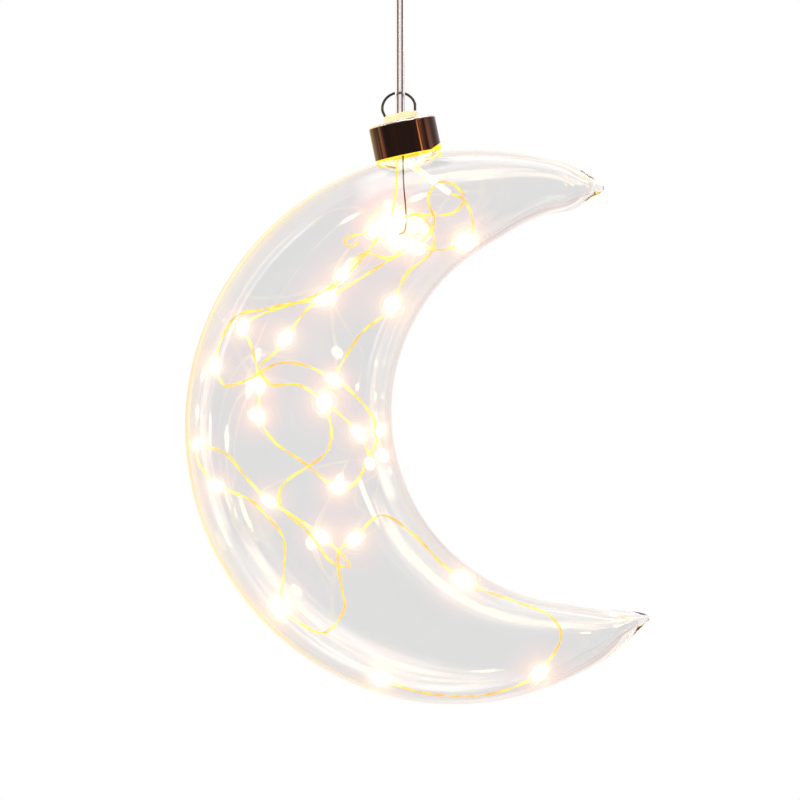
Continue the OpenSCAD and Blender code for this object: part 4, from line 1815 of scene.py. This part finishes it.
    def patch(
        self, name: str, away: tuple[float, float], turn: tuple[float, float], reach: float
    ) -> Thing:
        """A patch of the round room about the object, with softly fading borders.

        Args:
            name: The patch's name.
            away: Its first and last angle from the camera's direction, in degrees.
            turn: Its first and last angle round that direction, from the right over the top.
            reach: Its distance from the object.

        Returns:
            The patch.
        """
        rows = self.patch_rows
        columns = max(self.least_columns, round(abs(turn[1] - turn[0]) / self.column_deg))
        soft_u, soft_v = self.borders
        points, fade = [], []
        for u in np.linspace(0, 1, rows):
            for v in np.linspace(0, 1, columns):
                t = math.radians(away[0] + u * (away[1] - away[0]))
                a = math.radians(turn[0] + v * (turn[1] - turn[0]))
                across, up = math.sin(t) * math.cos(a), math.sin(t) * math.sin(a)
                middle = self.camera_place[2]
                points.append((reach * across, -reach * math.cos(t), middle + reach * up))
                along_u = min(1, soft_u * u, soft_u - soft_u * u)
                fade.append(along_u * min(1, soft_v * v, soft_v - soft_v * v))
        faces = [
            [i * columns + j, i * columns + j + 1, (i + 1) * columns + j + 1, (i + 1) * columns + j]
            for i in range(rows - 1)
            for j in range(columns - 1)
        ]
        piece = mesh_object(name, np.array(points), faces)
        mark(piece, FADE, fade)
        return piece

    @staticmethod
    def bare_tree(piece: Thing, name: str) -> Tree:
        """Gives a piece of the room a material of its own, and its node tree, still empty.

        Args:
            piece: The piece.
            name: The material's name.

        Returns:
            The node tree.
        """
        material = bpy.data.materials.new(name)
        material.use_nodes = True
        material.node_tree.nodes.clear()
        piece.data.materials.append(material)
        return material.node_tree

    @staticmethod
    def only_in_gloss(card: Thing) -> None:
        """Keeps a piece of the room out of every view but reflections.

        Args:
            card: The piece.
        """
        card.visible_camera = card.visible_diffuse = False
        card.visible_shadow = card.visible_volume_scatter = False

    def room_light(
        self,
        tree: Tree,
        colour: Socket | str,
        strength: Socket,
        share: Socket | None = None,
    ) -> None:
        """Lights a piece of the room, for rays that were mirrored just once.

        Args:
            tree: Its material's node tree.
            colour: Its colour, or the output that gives it.
            strength: Its strength, where 1 is white.
            share: Where it is there at all, from 0 to 1.
        """
        path = add_node(tree, "ShaderNodeLightPath")
        mirrored = add_node(
            tree,
            "ShaderNodeMath",
            {"operation": "COMPARE", 1: self.mirrors, 2: self.mirrors_off},
            {0: path.outputs["Glossy Depth"]},
        ).outputs["Value"]
        if share is not None:
            mirrored = add_node(
                tree, "ShaderNodeMath", {"operation": "MULTIPLY"}, {0: mirrored, 1: share}
            ).outputs["Value"]
        light = add_node(tree, "ShaderNodeEmission", None, {"Strength": strength})
        if isinstance(colour, str):
            set_values(light, {"Color": colour})
        else:
            tree.links.new(colour, light.inputs["Color"])
        clear = add_node(tree, "ShaderNodeBsdfTransparent")
        mixed = add_node(
            tree,
            "ShaderNodeMixShader",
            None,
            {0: mirrored, 1: clear.outputs["BSDF"], 2: light.outputs["Emission"]},
        )
        add_node(tree, "ShaderNodeOutputMaterial", None, {"Surface": mixed.outputs["Shader"]})

    def cloud(self, tree: Tree, size_mm: float, low: float, high: float) -> Socket:
        """Soft uneven value between two others, in long folds round the view.

        Args:
            tree: The material's node tree.
            size_mm: Size of one fold.
            low: The least value.
            high: The greatest value.

        Returns:
            The value.
        """
        first, last = self.fold_edges
        span = {"From Min": first, "From Max": last, "To Min": low, "To Max": high}
        folds = soft_pattern(tree, size_mm, self.fold_stretch)
        return add_node(tree, "ShaderNodeMapRange", span, {"Value": folds}).outputs["Result"]

    def build_room(self) -> None:
        """The room about the object, which only mirrored rays see: dim in front, warm behind."""
        room = self.patch("room", self.room_away, self.room_turn, self.room_r)
        tree = self.bare_tree(room, "room_cloth")
        place = add_node(tree, "ShaderNodeTexCoord")
        apart = add_node(
            tree, "ShaderNodeSeparateXYZ", None, {"Vector": place.outputs["Object"]}
        )
        reach = self.room_r * MM
        depth = add_node(
            tree,
            "ShaderNodeMapRange",
            {"From Min": -reach, "From Max": reach},
            {"Value": apart.outputs["Y"]},
        )
        wander = add_node(
            tree,
            "ShaderNodeMath",
            {"operation": "ADD"},
            {0: depth.outputs["Result"], 1: self.cloud(tree, *self.wander)},
        )
        stops = [((1 - math.cos(math.radians(away))) / 2, tone) for away, tone in self.room_tones]
        cloth = add_node(
            tree, "ShaderNodeValToRGB", {"stops": stops}, {"Fac": wander.outputs["Value"]}
        )
        strength = self.cloud(tree, *self.shimmer)
        self.room_light(tree, cloth.outputs["Color"], strength)
        self.only_in_gloss(room)

    def build_card(self, card: Card) -> None:
        """A soft box or reflector in the room.

        Args:
            card: Its angles, colour and light.
        """
        piece = self.patch(card.name, card.away, card.turn, self.room_r * card.reach)
        tree = self.bare_tree(piece, f"{card.name}_lit")
        fade = add_node(
            tree, "ShaderNodeAttribute", {"attribute_name": FADE, "attribute_type": "GEOMETRY"}
        )
        strength = self.cloud(tree, card.grain_mm, card.strength * card.low, card.strength)
        self.room_light(tree, card.colour, strength, fade.outputs["Fac"])
        self.only_in_gloss(piece)

    def build_lamp(
        self, name: str, place: Point, size: tuple[float, float], power: float
    ) -> None:
        """A soft lamp that points at the middle of the object.

        Args:
            name: The lamp's name.
            place: Its place.
            size: Its width and height.
            power: Its power in watts.
        """
        data = bpy.data.lights.new(name, "AREA")
        data.shape = "RECTANGLE"
        data.size, data.size_y = size[0] * MM, size[1] * MM
        data.energy = power
        lamp = add_object(name, data, place)
        aim = Vector((0, 0, self.camera_place[2] * MM)) - lamp.location
        lamp.rotation_euler = aim.to_track_quat("-Z", "Y").to_euler()
        lamp.visible_camera = lamp.visible_transmission = False

    def build_floor(self) -> None:
        """Pale matt floor far below, white to the eye and with the object's shadow on it."""
        half, z = self.floor_half, self.floor_z
        corners = np.array([[-half, -half, z], [half, -half, z], [half, half, z], [-half, half, z]])
        floor = mesh_object("floor", corners, [[0, 1, 2, 3]])
        material = bpy.data.materials.new("matt_white_paint")
        material.use_nodes = True
        tree = material.node_tree
        shader = tree.nodes["Principled BSDF"]
        paint = {
            "Base Color": self.floor_colour,
            "Roughness": 1,
            "Specular IOR Level": 0,
            "Emission Color": WHITE,
        }
        set_values(shader, paint)
        seen = self.seen_ray(tree)
        lift = add_node(
            tree, "ShaderNodeMath", {"operation": "MULTIPLY", 1: self.floor_lift}, {0: seen}
        )
        tree.links.new(lift.outputs["Value"], shader.inputs["Emission Strength"])
        floor.data.materials.append(material)

    def build(self) -> None:
        """Makes what stands round the object."""
        self.build_world()
        self.build_lamp("key_lamp", self.key_place, self.key_size, self.key_power)
        self.build_lamp("fill_lamp", self.fill_place, self.key_size, self.fill_power)
        self.build_floor()
        self.build_room()
        for card in self.cards:
            self.build_card(card)
        scene = bpy.context.scene
        scene.view_settings.view_transform = "Standard"
        scene.cycles.max_bounces = self.bounces
        scene.cycles.transmission_bounces = self.bounces
        scene.cycles.glossy_bounces = self.bounces
        scene.cycles.transparent_max_bounces = self.clear_bounces


def main() -> None:
    """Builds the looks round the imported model, piece by piece."""
    logging.basicConfig(level=logging.INFO, format="%(name)s: %(message)s")
    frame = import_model()
    studio = Studio()
    studio.build_camera()
    builders: list[tuple[str, Callable[[], None]]] = [
        ("twin lead", lambda: TwinLead().build(frame)),
        ("ceiling cup", lambda: CeilingCup().build(frame)),
        ("cap and plug", lambda: CapAndPlug().build(frame)),
        ("glass crescent", GlassCrescent().build),
        ("string of lights", lambda: StringOfLights().build(frame)),
        ("studio", studio.build),
    ]
    for name, build in builders:
        build()
        LOG.info("%s done", name)


if __name__ == "__main__":
    main()
